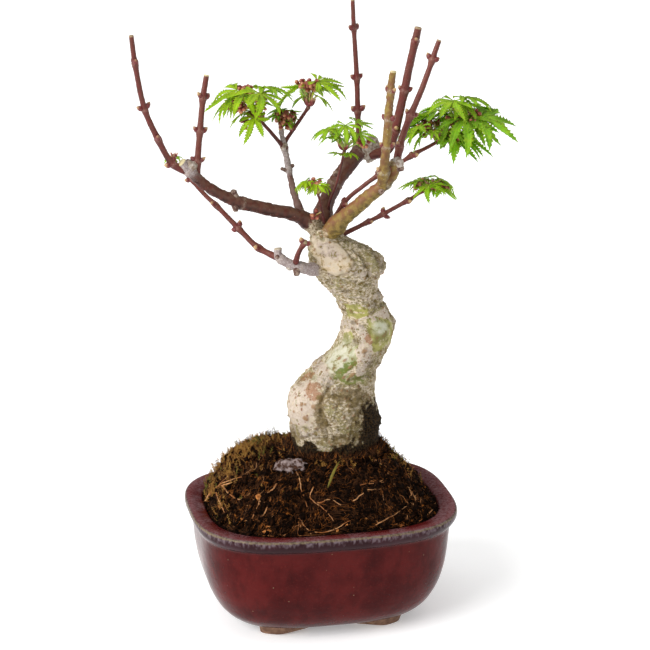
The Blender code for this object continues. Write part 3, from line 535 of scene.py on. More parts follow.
class Value:
    """A number that varies over a surface; sums on it add Math nodes to its material."""

    def __init__(self, finish, socket):
        self.finish = finish
        self.socket = socket

    def math(self, operation, *values, clamp=False):
        settings = {"operation": operation, "use_clamp": clamp}
        node = self.finish.node("ShaderNodeMath", settings, dict(enumerate(values)))
        return Value(self.finish, node.outputs[0])

    def __add__(self, other):
        return self.math("ADD", self, other)

    __radd__ = __add__

    def __sub__(self, other):
        return self.math("SUBTRACT", self, other)

    def __rsub__(self, other):
        return self.math("SUBTRACT", other, self)

    def __mul__(self, other):
        return self.math("MULTIPLY", self, other)

    __rmul__ = __mul__

    def between(self, low, high):
        """0 below low, 1 above high and a smooth S between them."""
        settings = {"interpolation_type": "SMOOTHSTEP"}
        sockets = {"Value": self, "From Min": low, "From Max": high}
        return Value(self.finish, self.finish.node("ShaderNodeMapRange", settings, sockets).outputs[0])


class Finish:
    """One material under construction, with its Principled shader."""

    def __init__(self, name):
        self.material = bpy.data.materials.new(name)
        self.material.use_nodes = True
        self.tree = self.material.node_tree
        self.shader = self.tree.nodes["Principled BSDF"]

    def node(self, kind, settings, sockets):
        """Any node: its settings first, then its sockets' values or links."""
        made = self.tree.nodes.new(kind)
        for key, value in settings.items():
            setattr(made, key, value)
        for key, value in sockets.items():
            self.feed(made.inputs[key], value)
        return made

    def feed(self, socket, value):
        if isinstance(value, Value):
            value = value.socket
        if isinstance(value, bpy.types.NodeSocket):
            self.tree.links.new(value, socket)
        elif isinstance(value, tuple) and len(value) == 3 and socket.type == "RGBA":
            socket.default_value = (*value, 1.0)
        else:
            socket.default_value = value

    def place(self, stretch=(1.0, 1.0, 1.0)):
        """Object coordinates, closer together along an axis as stretch is larger."""
        source = self.node("ShaderNodeTexCoord", {}, {}).outputs["Object"]
        sockets = {0: source, 1: stretch}
        return self.node("ShaderNodeVectorMath", {"operation": "MULTIPLY"}, sockets).outputs[0]

    def grain(self, size, detail=3.0, stretch=(1.0, 1.0, 1.0), roughness=0.55):
        """Noise from 0 to 1 whose marks are about that many millimetres."""
        sockets = {"Vector": self.place(stretch), "Scale": 1 / (size * MM), "Detail": detail,
                   "Roughness": roughness}
        return Value(self, self.node("ShaderNodeTexNoise", {}, sockets).outputs["Fac"])

    def specks(self, size, stretch=(1.0, 1.0, 1.0)):
        """Distance from scattered specks that are about that many millimetres apart."""
        sockets = {"Vector": self.place(stretch), "Scale": 1 / (size * MM)}
        return Value(self, self.node("ShaderNodeTexVoronoi", {}, sockets).outputs["Distance"])

    def crackle(self, size, stretch=(1.0, 1.0, 1.0)):
        """Distance from ragged cracks between scales of about that many millimetres."""
        place = self.place(stretch)
        shake = {"Vector": place, "Scale": 1 / (size * MM), "Detail": 3.0}
        shaken = self.node("ShaderNodeTexNoise", {}, shake).outputs["Color"]
        sum_sockets = {0: shaken, 1: (size * MM * 1.4,) * 3, 2: place}
        moved = self.node("ShaderNodeVectorMath", {"operation": "MULTIPLY_ADD"}, sum_sockets)
        sockets = {"Vector": moved.outputs[0], "Scale": 1 / (size * MM)}
        settings = {"feature": "DISTANCE_TO_EDGE"}
        return Value(self, self.node("ShaderNodeTexVoronoi", settings, sockets).outputs["Distance"])

    def height(self):
        """The height above the floor in millimetres."""
        split = self.node("ShaderNodeSeparateXYZ", {}, {0: self.place()})
        return Value(self, split.outputs["Z"]) * (1 / MM)

    def stored(self, name):
        """A value that the mesh holds at its points."""
        node = self.node("ShaderNodeAttribute", {"attribute_name": name}, {})
        return Value(self, node.outputs["Fac"])

    def mix(self, share, first, second):
        """The first colour where share is 0 and the second where it is 1."""
        sockets = {0: share, 6: first, 7: second}
        return self.node("ShaderNodeMix", {"data_type": "RGBA"}, sockets).outputs[2]

    def relief(self, height, depth):
        """A bump so many millimetres deep where the height goes from 0 to 1."""
        sockets = {"Height": height, "Distance": depth * MM, "Strength": 1.0}
        return self.node("ShaderNodeBump", {}, sockets).outputs["Normal"]

    def done(self, **sockets):
        """Sets the shader's sockets, whose names are written with underscores, and returns it."""
        for key, value in sockets.items():
            self.feed(self.shader.inputs[key.replace("_", " ")], value)
        return self.material


def darker(colour, share):
    return tuple(channel * share for channel in colour)


def glaze_finish(colour, band, edge, rim):
    """Deep red glaze that runs grey-purple under the lip and breaks pale on its edge."""
    finish = Finish("glaze")
    over = finish.stored("past_edge")
    clouds = finish.grain(17, 3)
    mottle = finish.grain(1.2, 4)
    body = finish.mix(clouds.between(0.36, 0.64), colour, tuple(c * k for c, k in zip(colour, (1.7, 2.4, 2.2))))
    streaks = finish.grain(5, 3, (1.0, 1.0, 0.4))
    body = finish.mix(streaks.between(0.45, 0.8) * 0.45, body, darker(colour, 0.4))
    body = finish.mix(mottle.between(0.55, 0.75) * 0.3, body, (0.14, 0.018, 0.012))
    body = finish.mix((1 - finish.specks(7).between(0.03, 0.06)) * 0.5, body, (0.3, 0.2, 0.12))
    dark = (over + clouds * 4 + mottle * 1.6).between(-5.4, -1.6)
    body = finish.mix(dark * 0.9, body, finish.mix(clouds.between(0.4, 0.6), band, darker(band, 0.5)))
    drips = finish.grain(1.6, 3, (1.0, 1.0, 0.5))
    fringe = (over + drips * 7).between(1.4, 5.2) * drips.between(0.35, 0.6)
    body = finish.mix(fringe * 0.7, body, (0.2, 0.15, 0.17))
    foot_line = 1 - (finish.height() + mottle * 3).between(5.8, 10.0)
    body = finish.mix(foot_line * 0.85, body, (0.07, 0.04, 0.042))
    worn = finish.mix((over + clouds * 3).between(4.5, 8.5), rim, (0.07, 0.006, 0.006))
    # The mauve patches on the rim are partly the glaze's own mottling and partly a painted reflection.
    worn = finish.mix(clouds.between(0.42, 0.6) * mottle.between(0.35, 0.6) * 0.4, worn, (0.22, 0.14, 0.15))
    body = finish.mix((over + mottle).between(2.0, 3.2), body, worn)
    jitter = over + mottle * 1.6
    line = jitter.between(1.2, 1.8) * (1 - jitter.between(2.2, 2.9))
    body = finish.mix(line * 0.85, body, finish.mix(mottle.between(0.35, 0.6), darker(edge, 0.4), edge))
    pits = 1 - finish.specks(5).between(0.03, 0.1)
    lines = finish.grain(1.5, 2, (0.05, 0.05, 1.0))
    bump = finish.relief(lines * 0.2 + finish.grain(8, 2) * 0.8 - pits * 0.5, 0.3)
    return finish.done(Base_Color=body, Roughness=0.1 + mottle * 0.15 + fringe * 0.15, Normal=bump,
                       Specular_IOR_Level=0.09)


def clay_finish():
    finish = Finish("bare_clay")
    tone = finish.mix(finish.grain(3, 4).between(0.35, 0.7), (0.12, 0.055, 0.03), (0.24, 0.13, 0.075))
    bump = finish.relief(finish.grain(0.6, 3), 0.15)
    return finish.done(Base_Color=tone, Roughness=0.82, Normal=bump)


def peat_finish(name, dark, light, size=2.0):
    finish = Finish(name)
    tone = finish.mix(finish.grain(size, 5).between(0.48, 0.7), dark, light)
    bump = finish.relief(finish.grain(size * 0.4, 4), 0.5)
    return finish.done(Base_Color=tone, Roughness=0.9, Normal=bump, Specular_IOR_Level=0.04)


def plain_finish(name, colour, other, size, roughness=0.6, depth=0.1):
    """Two tones that run into each other in marks of that size, with a fine bump."""
    finish = Finish(name)
    tone = finish.mix(finish.grain(size, 3).between(0.4, 0.6), colour, other)
    bump = finish.relief(finish.grain(size * 0.4, 3), depth)
    return finish.done(Base_Color=tone, Roughness=roughness, Normal=bump, Specular_IOR_Level=0.15)


def trunk_finish(cream, tan, olive):
    """Cream scales over darker bark with brown crevices, smooth green places, warts, and moss and damp at the foot,
    with painted shade in the creases, grooves and hollows and brown patches that are partly painted shade. Each
    mark's edge is made ragged by noise."""
    finish = Finish("old_bark")
    rough = finish.stored("rough")
    broad = finish.grain(9, 3)
    medium = finish.grain(3, 5)
    fine = finish.grain(0.8, 4)

    def ragged(name, soft=0.12):
        shaken = finish.stored(name) * 0.9 + (medium - 0.5) * 3.4 + (fine - 0.5) * 1.2
        return shaken.between(0.5 - soft, 0.5 + soft)

    ground = finish.mix(broad.between(0.35, 0.65), tan, (0.32, 0.28, 0.14))
    ground = finish.mix(fine.between(0.45, 0.7) * 0.6, ground, (0.13, 0.08, 0.03))
    scales = finish.grain(1.7, 4, (1.0, 1.0, 1.7), 0.7)
    edge = broad * 0.3 + 0.35
    plates = ((scales - edge) * 14 + 0.5).between(0.0, 1.0)
    pale = finish.mix(medium.between(0.35, 0.65), darker(cream, 0.78), cream)
    bright = finish.mix(fine.between(0.5, 0.7), pale, (0.8, 0.73, 0.6))
    smooth = finish.mix(medium.between(0.42, 0.62) * 0.8, pale, (0.4, 0.27, 0.14))
    tone = finish.mix(rough.between(0.2, 0.7), smooth, finish.mix(plates, ground, bright))
    seams = (finish.grain(2.6, 4, (1.0, 1.0, 1.6), 0.6) - 0.5).math("ABSOLUTE")
    seams = 1 - seams.between(0.01, 0.05)
    tone = finish.mix(seams * (rough * 0.75 + 0.12), tone, (0.11, 0.06, 0.022))
    tone = finish.mix(finish.stored("lilac") * medium.between(0.35, 0.6) * 0.6, tone, (0.36, 0.3, 0.31))
    chalk = finish.mix(medium.between(0.35, 0.65), (0.4, 0.31, 0.25), (0.62, 0.54, 0.45))
    white = ragged("white")
    tone = finish.mix(white * 0.9, tone, chalk)
    green = finish.mix(finish.grain(6, 3).between(0.35, 0.65), olive, darker(olive, 0.5))
    green = finish.mix(fine.between(0.5, 0.65) * 0.35, green, (0.4, 0.33, 0.17))
    tone = finish.mix(ragged("olive", 0.2) * 0.92, tone, green)
    sage = finish.mix(medium.between(0.4, 0.65), (0.52, 0.52, 0.42), (0.42, 0.43, 0.28))
    tone = finish.mix(finish.stored("sage") * 0.8, tone, sage)
    tone = finish.mix(ragged("vivid", 0.35) * 0.85, tone, (0.1, 0.14, 0.012))
    tone = finish.mix(ragged("rust", 0.2) * ragged("rust", 0.3) * 0.8, tone, finish.mix(fine, (0.4, 0.2, 0.1), (0.2, 0.08, 0.03)))
    # The brown patches are partly the bark's own brown and partly painted shade on the lower bulge and low on the
    # trunk.
    tone = finish.mix(ragged("brown", 0.4) * 0.85, tone, finish.mix(scales, (0.07, 0.045, 0.015), (0.3, 0.22, 0.09)))
    spots = 1 - finish.specks(2.6).between(0.16, 0.28)
    tone = finish.mix(spots * finish.stored("white") * 0.85, tone, (0.2, 0.085, 0.035))
    tone = finish.mix(finish.stored("wart") * 0.85, tone, finish.mix(fine, (0.13, 0.06, 0.025), (0.42, 0.26, 0.13)))
    # Painted shade: the creases round the swellings, the grooves and the hollows are darkened to brown.
    tone = finish.mix(finish.stored("crease_shade") * (0.5 + fine * 0.6), tone, (0.1, 0.065, 0.02))
    moss = finish.mix(fine.between(0.42, 0.62), (0.006, 0.0035, 0.0015), (0.06, 0.034, 0.012))
    damp = (finish.stored("damp") * 2.8 + (medium - 0.5) * 3.2 + (fine - 0.5) * 1.6).between(1.0, 1.8)
    tone = finish.mix(damp, tone, moss)
    height = fine * (0.2 + 0.5 * rough) + plates * rough * 0.5 - seams * (rough * 0.9 + 0.1)
    bump = finish.relief(height, 0.5)
    return finish.done(Base_Color=tone, Roughness=0.6 + rough * 0.3, Normal=bump,
                       Specular_IOR_Level=0.15)


def limb_finish(name, colour, above, fleck, roughness):
    """A limb's bark: its own colour, another tone painted as a highlight on the side that faces up and
    forwards, weathered grey stretches, the trunk's cream at its foot, fine pale dots and a cut end."""
    finish = Finish(name)
    streaks = finish.grain(2.6, 4)
    fine = finish.grain(0.7, 3)
    tone = finish.mix(streaks.between(0.35, 0.65), colour, darker(colour, 0.35))
    # Painted highlight: streaks of the upper tone, lighter on most barks, on the side that faces up and forwards.
    tone = finish.mix(finish.stored("upper") * streaks.between(0.3, 0.6) * 0.8, tone, above)
    grey = finish.mix(fine.between(0.4, 0.6), (0.45, 0.39, 0.37), (0.27, 0.21, 0.2))
    tone = finish.mix(finish.stored("weathered") * 0.9, tone, grey)
    dots = 1 - finish.specks(1.9, (1.0, 1.0, 0.6)).between(0.06, 0.13)
    tone = finish.mix(dots * 0.4, tone, fleck)
    tone = finish.mix(finish.stored("node") * fine.between(0.3, 0.7) * 0.45, tone, fleck)
    scales = finish.grain(1.5, 4, (1.0, 1.0, 1.5), 0.7)
    scaly = finish.mix(scales.between(0.42, 0.52), (0.2, 0.13, 0.06), (0.58, 0.49, 0.35))
    tone = finish.mix(finish.stored("foot"), tone, scaly)
    tone = finish.mix(finish.stored("cut"), tone, finish.mix(fine, (0.78, 0.7, 0.42), (0.5, 0.4, 0.2)))
    bump = finish.relief(fine + dots * 0.5, 0.14)
    return finish.done(Base_Color=tone, Roughness=roughness, Normal=bump, Specular_IOR_Level=0.25)


def leaf_finish(name, colour):
    """Young leaf: brighter along the ribs, a little darker between them, letting light through."""
    finish = Finish(name)
    rib = 1 - finish.stored("from_rib").between(0.03, 0.25)
    tone = finish.mix(finish.grain(9, 2).between(0.35, 0.65), colour, darker(colour, 0.55))
    tone = finish.mix(finish.grain(5, 2).between(0.5, 0.75) * 0.5, tone, (0.36, 0.46, 0.03))
    tone = finish.mix(finish.stored("veins").between(0.6, 0.95) * 0.3, tone, darker(colour, 0.6))
    tone = finish.mix(rib * 0.5, tone, (colour[0] * 1.5, colour[1] * 1.25, colour[2] * 1.5))
    bump = finish.relief(finish.stored("veins"), 0.12)
    return finish.done(Base_Color=tone, Roughness=0.45, Normal=bump, Subsurface_Weight=0.3,
                       Subsurface_Radius=(0.5, 1.0, 0.05), Subsurface_Scale=0.0012,
                       Specular_IOR_Level=0.12)


def bud_finish(name, colour, tip):
    finish = Finish(name)
    tone = finish.mix(finish.stored("tip").between(0.55, 0.95), colour, tip)
    bump = finish.relief(finish.grain(0.5, 2), 0.08)
    return finish.done(Base_Color=tone, Roughness=0.45, Normal=bump)


# The pot

def pot_outline(inset, height, turn):
    """The rounded rectangle: along each side the half size, less the inset, times the cosine or
    sine of the turn to the power of 2 over the squareness."""
    power = 2 / POT_SQUARENESS
    cosine, sine = np.cos(turn), np.sin(turn)
    x = (POT_HALF_WIDTH - inset) * np.sign(cosine) * np.abs(cosine) ** power
    y = (POT_HALF_DEPTH - inset) * np.sign(sine) * np.abs(sine) ** power
    return np.stack([x * math.cos(POT_TURN) - y * math.sin(POT_TURN),
                     x * math.sin(POT_TURN) + y * math.cos(POT_TURN),
                     height + 0 * x], -1)


def even_turns(columns):
    """Directions round the outline that put its points about evenly along it."""
    turn = np.linspace(0, 2 * math.pi, 4001)
    outline = pot_outline(0.0, 0.0, turn)
    along = np.concatenate([[0], np.cumsum(np.linalg.norm(np.diff(outline, axis=0), axis=1))])
    return np.interp(np.arange(columns) / columns * along[-1], along, turn)


def pot_shell(wobble):
    """The glazed wall: the outline at each inset and height of a closed profile, which runs from
    the drain hole out under the floor, up the outside, over the lip and down the inside."""
    turn = even_turns(POT_COLUMNS)
    wall = np.concatenate([smooth_rows(POT_OUTSIDE, 100), smooth_rows(POT_INSIDE, 20)])
    steps = np.linalg.norm(np.diff(wall, axis=0), axis=1)
    along = np.concatenate([[0], np.cumsum(steps)])
    lip = np.argmin(wall[:, 0])
    rings = pot_outline(wall[:, :1], wall[:, 1:], turn[None])
    height = rings[..., 2:]
    fade = step_between(height, 10, 20) * step_between(-height, -61, -57)
    rings = rings + outward(rings) * (noise(rings, 14.0, 4)[..., None] * wobble * fade)
    hole = [np.stack([DRAIN_RADIUS * np.cos(turn + POT_TURN), DRAIN_RADIUS * np.sin(turn + POT_TURN),
                      np.full(POT_COLUMNS, level)], -1) for level in (FLOOR_HEIGHT, FOOT_HEIGHT)]
    rings = np.concatenate([np.array(hole), rings])
    past = np.concatenate([[-99, -99], along - along[lip]])
    past = np.repeat(past[:, None], POT_COLUMNS, axis=1)
    return rings, past


def make_pot(settings):
    glaze = glaze_finish(tuple(settings.glaze), tuple(settings.band), tuple(settings.edge),
                         tuple(settings.rim))
    rings, past = pot_shell(settings.wobble / MM)
    faces = [grid_quads(len(rings), POT_COLUMNS, closed_rows=True)]
    pot = new_piece("glazed_pot", rings.reshape(-1, 3), faces, [glaze], values={"past_edge": past})
    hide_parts("pot")
    return pot


def make_feet():
    """Four bracket feet: the cross-section carried along its stretch of the outline. Its underside
    rises towards the inner end, and both ends are drawn in by a share of the depth."""
    share = np.linspace(0, 1, 33)[:, None]
    first, last = (np.radians([foot[k] for foot in FEET])[:, None, None] for k in (0, 1))
    turn = first + (last - first) * share
    section = smooth_rows(FOOT_SECTION, 30)
    middle = section[:, 0].mean()
    inset = middle + (section[:, 0] - middle) * (1 - 0.4 * np.abs(share * 2 - 1) ** 6)
    rise = step_between(share, 0.45, 1.05) * 3.2
    height = rise + section[:, 1] * (1 - rise / 6.0)
    turn, inset, height = np.broadcast_arrays(turn, inset, height)
    rings = pot_outline(inset, height, turn)
    rings[1::2] = rings[1::2, ::-1]
    faces = tube_faces(len(FEET), len(share), len(section))
    feet = new_piece("pot_feet", with_ends(rings), faces, [clay_finish()])
    return feet


# The soil

def mound_height(share, x, y):
    """Height of the soil at a share of the way in from the pot's wall: a rise to the trunk's seat,
    a mossy bank at the back left and a dip at the back right."""
    seat = TRUNK_CUT - GAP
    rise = 1 - (1 - share) ** 2.1
    bank = MOSS_BANK * np.exp(-(((x + 48) / 26) ** 2) - ((y - 30) / 30) ** 2)
    dip = RIGHT_DIP * np.exp(-(((x - 46) / 24) ** 2) - ((y - 22) / 30) ** 2)
    return SOIL_EDGE + (seat - SOIL_EDGE) * rise + (bank - dip) * share**0.5 * (1 - share) * 2


def mound_point(share, turn):
    """A point of the soil: the wall's outline blended into the circle under the trunk."""
    edge = pot_outline(SOIL_INSET, SOIL_EDGE, turn)
    _, x, y, half_width, _ = TRUNK_RINGS[0]
    radius = half_width + SEAT_MARGIN
    seat = np.stack([x + radius * np.cos(turn + POT_TURN), y + radius * np.sin(turn + POT_TURN),
                     SOIL_EDGE + 0 * turn], -1)
    point = edge + (seat - edge) * share[..., None]
    point[..., 2] = mound_height(share, point[..., 0], point[..., 1])
    return point


def lumps(points, share):
    """How far the clods stand out of the mound: coarse and fine noise that fades at the wall."""
    rough = layered(points, 8.0, 21, 4) * 1.5 + layered(points, 2.4, 31, 2) * 0.7
    return rough * step_between(share, 0.0, 0.07)


def scattered(rng, count, weight):
    """Random places on the mound, kept more often where the weight of their point is larger."""
    share = 1 - np.sqrt(rng.uniform(0.1, 1.0, count * 12))
    share = share / share.max()
    turn = rng.uniform(0, 2 * math.pi, len(share))
    kept = rng.uniform(0, 1, len(share)) < weight(mound_point(share, turn))
    return share[kept][:count], turn[kept][:count]


def mossy(points):
    """How much moss grows at a point: the back left bank, the back right edge and the trunk's foot."""
    x, y = points[..., 0], points[..., 1]
    patchy = step_between(noise(points, 6.0, 3) + 0.5 * noise(points, 3.0, 7), -0.4, 0.4)
    bank = bell(x + 46, 20) * bell(y - 28, 30) * (0.3 + 0.7 * patchy)
    left = bell(x + 56, 9) * bell(y + 2, 24) * patchy * 0.6
    right = (bell(x - 42, 16) * bell(y - 38, 16) + bell(x - 36, 10) * bell(y - 2, 9)) * 0.7 * patchy
    foot = bell(np.hypot(x - 7.6, y - 10) - 25, 4.0) * patchy * 0.8
    return np.clip(bank + left + right + foot, 0, 1)


def make_soil():
    """The mound's skin: the wall's rings from the bottom up, then the surface in to the trunk."""
    turn = even_turns(420)
    wall = [(inset + GAP, height + GAP) for inset, height in reversed(POT_INSIDE[1:])]
    rings = [pot_outline(inset, height, turn) for inset, height in wall]
    share = np.linspace(0, 1, 150)[:, None] + 0 * turn
    surface = mound_point(share, turn[None] + 0 * share)
    surface[..., 2] += lumps(surface, share)
    rings = np.concatenate([np.array(rings), surface])[None]
    peat = peat_finish("peat", (0.004, 0.0018, 0.001), (0.035, 0.013, 0.005))
    soil = new_piece("soil_surface", with_ends(rings), tube_faces(1, rings.shape[1], len(turn)), [peat])
    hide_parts("soil")
    return soil


def on_mound(share, turn):
    """A place on the mound with its clods."""
    points = mound_point(share, turn)
    points[..., 2] += lumps(points, share)
    return points


def crumb_rings(rng, middles, sizes):
    """Small clods: two uneven rings of five points round an axis of their own."""
    axis = unit(rng.normal(size=(len(middles), 3)))
    side = unit(np.cross(axis, AWAY))
    other = np.cross(axis, side)
    axis, side, other = (way[:, None, None] for way in (axis, side, other))
    turn = np.arange(5) * 2 * math.pi / 5 + rng.uniform(0, 6, (len(middles), 2, 1))
    reach = rng.uniform(0.5, 1.1, (len(middles), 2, 5)) * sizes[:, None, None]
    level = np.array([-0.5, 0.5])[:, None] * sizes[:, None, None] * rng.uniform(0.5, 1.4, reach.shape)
    ring = side * (reach * np.cos(turn))[..., None] + other * (reach * np.sin(turn))[..., None]
    return middles[:, None, None] + ring + axis * level[..., None]


def make_crumbs(name, seed, count, low, high, surface, weight):
    rng = np.random.default_rng(seed)
    share, turn = scattered(rng, count, weight)
    middles = on_mound(share, turn)
    sizes = low + (high - low) * rng.uniform(0, 1, len(middles)) ** 3
    middles[:, 2] += sizes * rng.uniform(-0.3, 0.5, len(middles))
    rings = crumb_rings(rng, middles, sizes)
    piece = new_piece(name, with_ends(rings, 0.3), tube_faces(len(rings), 2, 5), [surface])
    piece.data.shade_flat()
    return piece


def wandering(rng, count, rows, length, lift, weight):
    """Paths that wander over the mound: a start, and steps whose heading drifts at random."""
    share, turn = scattered(rng, count, weight)
    heading = rng.uniform(0, 2 * math.pi, (len(share), 1))
    heading = heading + np.cumsum(rng.normal(0, 0.4, (len(share), rows)), axis=1)
    size = length * rng.uniform(0.4, 1.3, (len(share), 1)) / rows
    share = np.clip(share[:, None] + np.cumsum(np.sin(heading) * size, axis=1) / 42, 0.015, 0.985)
    turn = turn[:, None] + np.cumsum(np.cos(heading) * size, axis=1) / 50
    paths = on_mound(share, turn)
    arch = np.sin(np.linspace(0, math.pi, rows) * rng.uniform(0.5, 1, (len(paths), 1)))
    paths[..., 2] += 0.2 + lift * arch * rng.uniform(0.0, 1, (len(paths), 1)) ** 2
    return paths


def ground(places):
    """Height of the mound under places seen from above: that of the nearest of many samples."""
    share, turn = np.meshgrid(np.linspace(0, 1, 90), np.linspace(0, 2 * math.pi, 240))
    surface = on_mound(share.ravel(), turn.ravel())
    far = ((places[:, None, :2] - surface[None, :, :2]) ** 2).sum(-1)
    return surface[np.argmin(far, axis=1), 2]


def make_rootlets(surface):
    """The long pale roots on top of the peat: smooth lines through their places, laid on it."""
    rng = np.random.default_rng(66)
    rows, rings = 30, []
    for places in ROOTLETS:
        path = smooth_rows(np.c_[np.array(places, float), np.zeros(len(places))], rows)
        path[:, :2] += np.cumsum(rng.normal(0, 0.16, (rows, 2)), axis=0)
        level = np.convolve(np.pad(ground(path), 3, "edge"), np.ones(7) / 7, "valid")
        path[:, 2] = np.maximum(level + 0.9, ground(path) + 0.3)
        radii = rng.uniform(0.3, 0.48) * np.linspace(1, 0.45, rows)
        rings.append(circles_along(path, radii, 7, UP))
    rootlets = new_piece("rootlets", with_ends(np.array(rings)), tube_faces(len(rings), rows, 7), [surface])
    return rootlets


def make_surface_root():
    """The crusty top of a root at the trunk's foot: a lumpy ball, half in the peat."""
    rows, columns = 60, 90
    tilt = np.linspace(0.03, math.pi - 0.03, rows)[:, None]
    turn = np.arange(columns) * 2 * math.pi / columns
    ball = np.stack([np.sin(tilt) * np.cos(turn), np.sin(tilt) * np.sin(turn), -np.cos(tilt) + 0 * turn], -1)
    spot, half = (np.array(each) for each in SURFACE_ROOT)
    middle = np.append(spot, ground(spot[None])[0])
    rings = middle + ball * half
    far, _ = cells(rings, 2.4, 96)
    lumpy = layered(rings, 5.0, 97, 4) * 0.4 + (0.5 - far) * 0.12
    rings = (middle + ball * half * (1 + lumpy)[..., None])[None]
    surface = plain_finish("crusty_root", (0.27, 0.21, 0.2), (0.05, 0.022, 0.013), 2.2, 0.8, 0.6)
    root = new_piece("surface_root", with_ends(rings), tube_faces(1, rows, columns), [surface])
    return root


def make_bits():
    """Single things on the peat: orange crumbs, one green crumb and a dry blade of grass."""
    rng = np.random.default_rng(68)
    spots = np.array(CRUMB_SPOTS, float)
    middles = np.c_[spots[:, :2], ground(spots[:, :2]) + spots[:, 2] * 0.5]
    surfaces = [plain_finish("orange_crumb", (0.5, 0.2, 0.05), (0.3, 0.1, 0.025), 1.2, 0.7, 0.3),
                plain_finish("green_crumb", (0.06, 0.3, 0.02), (0.03, 0.16, 0.01), 1.2, 0.6)]
    rings = crumb_rings(rng, middles, spots[:, 2])
    faces = tube_faces(len(rings), 2, 5)
    kind = np.where(np.arange(len(rings)) < len(rings) - 1, 0, 1)
    worn = np.concatenate([np.repeat(kind, len(face) // len(rings)) for face in faces])
    crumbs = new_piece("bright_crumbs", with_ends(rings, 0.3), faces, surfaces, worn)
    crumbs.data.shade_flat()
    rings = drops(np.array([GRASS[0]]), np.array([GRASS[1]]), np.array([1.5]), columns=10, rows=24,
                  flat=0.25, bend=1.5)
    surface = plain_finish("dry_grass", (0.17, 0.14, 0.02), (0.1, 0.07, 0.015), 3.0)
    blade = new_piece("grass_blade", with_ends(rings), tube_faces(1, 24, 10), [surface])


def make_strands(name, seed, count, rows, length, lift, width, columns, surface, weight):
    """Fine roots: three to five sided tubes along wandering paths, tapering to their tips."""
    rng = np.random.default_rng(seed)
    paths = wandering(rng, count, rows, length, lift, weight)
    radii = width / 2 * rng.uniform(0.6, 1.3, (len(paths), 1)) * np.linspace(1, 0.35, rows)
    rings = circles_along(paths, radii, columns, UP)
    piece = new_piece(name, with_ends(rings), tube_faces(len(rings), rows, columns), [surface])
    return piece


def spikes(feet, tips, widths):
    """Three-sided points: a foot, three corners round a place a third of the way, and a tip."""
    ahead = unit(tips - feet)
    side = unit(np.cross(ahead, AWAY))
    other = np.cross(ahead, side)
    turn = np.arange(3)[:, None] * 2 * math.pi / 3
    around = (np.cos(turn) * side[:, None] + np.sin(turn) * other[:, None]) * widths[:, None, None] / 2
    middle = feet + (tips - feet) * 0.35
    points = np.concatenate([middle[:, None] + around, feet[:, None], tips[:, None]], axis=1)
    return points.reshape(-1, 3), tube_faces(len(feet), 1, 3)


def make_moss(settings):
    """Moss shoots: a thin stem, and leaflets that are three-sided points round and up it."""
    rng = np.random.default_rng(71)
    share, turn = scattered(rng, settings.moss_shoots, mossy)
    foot = on_mound(share, turn) - UP * 0.4
    lean = rng.normal(0, 0.4, foot.shape)
    lean[:, 2] = 1.0
    tip = foot + unit(lean) * (1.4 + 5.2 * rng.uniform(0, 1, (len(foot), 1)) ** 1.6)
    leaflets = 10
    level = (np.arange(leaflets) + 0.8) / leaflets
    spin = np.arange(leaflets) * 2.4 + rng.uniform(0, 6, (len(foot), 1))
    root = foot[:, None] + (tip - foot)[:, None] * level[:, None]
    flat = np.stack([np.cos(spin), np.sin(spin), 0 * spin], -1)
    end = root + (flat * 0.8 + UP * 0.6) * rng.uniform(0.6, 1.4, spin.shape)[..., None]
    feet = np.concatenate([root, foot[:, None]], axis=1).reshape(-1, 3)
    tips = np.concatenate([end, tip[:, None]], axis=1).reshape(-1, 3)
    widths = np.tile([0.42] * leaflets + [0.36], len(foot))
    points, faces = spikes(feet, tips, widths)
    surfaces = [
        plain_finish("golden_moss", (0.48, 0.26, 0.06), (0.28, 0.13, 0.03), 3.0, 0.8),
        plain_finish("brown_moss", (0.17, 0.07, 0.02), (0.05, 0.02, 0.006), 3.0, 0.8),
        plain_finish("green_moss", (0.22, 0.19, 0.03), (0.12, 0.1, 0.02), 3.0, 0.7),
    ]
    kind = np.digitize(noise(foot, 8.0, 8) + rng.normal(0, 0.35, len(foot)), [0.0, 0.5])
    per_face = np.repeat(np.array([0, 1, 2])[kind], leaflets + 1)
    worn = np.concatenate([np.repeat(per_face, len(face) // len(feet)) for face in faces])
    moss = new_piece("moss", points, faces, surfaces, worn)
    return moss


def make_foot_fibres(dull, rusty, peat):
    """Brown fibres that climb the trunk's foot out of the peat, and clods piled against it."""
    rng = np.random.default_rng(73)
    count = 5200
    turn = rng.uniform(0, 2 * math.pi, count)
    _, x, y, half_width, half_depth = TRUNK_RINGS[0]
    out = rng.uniform(0.6, 4.5, count)
    feet = np.stack([x + (half_width + out) * np.cos(turn), y + (half_depth + out) * np.sin(turn),
                     rng.uniform(83.5, 89.0, count)], -1)
    way = rng.normal(0, 0.7, (count, 3)) + UP * 0.9
    way[:, :2] -= 0.35 * np.stack([np.cos(turn), np.sin(turn)], -1)
    points, faces = spikes(feet, feet + unit(way) * rng.uniform(1.5, 7.0, (count, 1)), np.full(count, 0.34))
    worn = np.concatenate([np.repeat(np.arange(count) % 4 // 3, len(face) // count) for face in faces])
    fibres = new_piece("foot_fibres", points, faces, [dull, rusty], worn)
    turn = rng.uniform(0, 2 * math.pi, 2600)
    out = rng.uniform(0.0, 1.0, len(turn)) ** 1.5 * 5.5
    level = 86.5 + (5.5 - out) * rng.uniform(-0.3, 0.9, len(turn))
    middles = np.stack([x + (half_width + out) * np.cos(turn), y + (half_depth + out) * np.sin(turn), level], -1)
    rings = crumb_rings(rng, middles, rng.uniform(0.5, 1.5, len(turn)))
    clods = new_piece("foot_clods", with_ends(rings, 0.3), tube_faces(len(rings), 2, 5), [peat])
    clods.data.shade_flat()


# The trunk

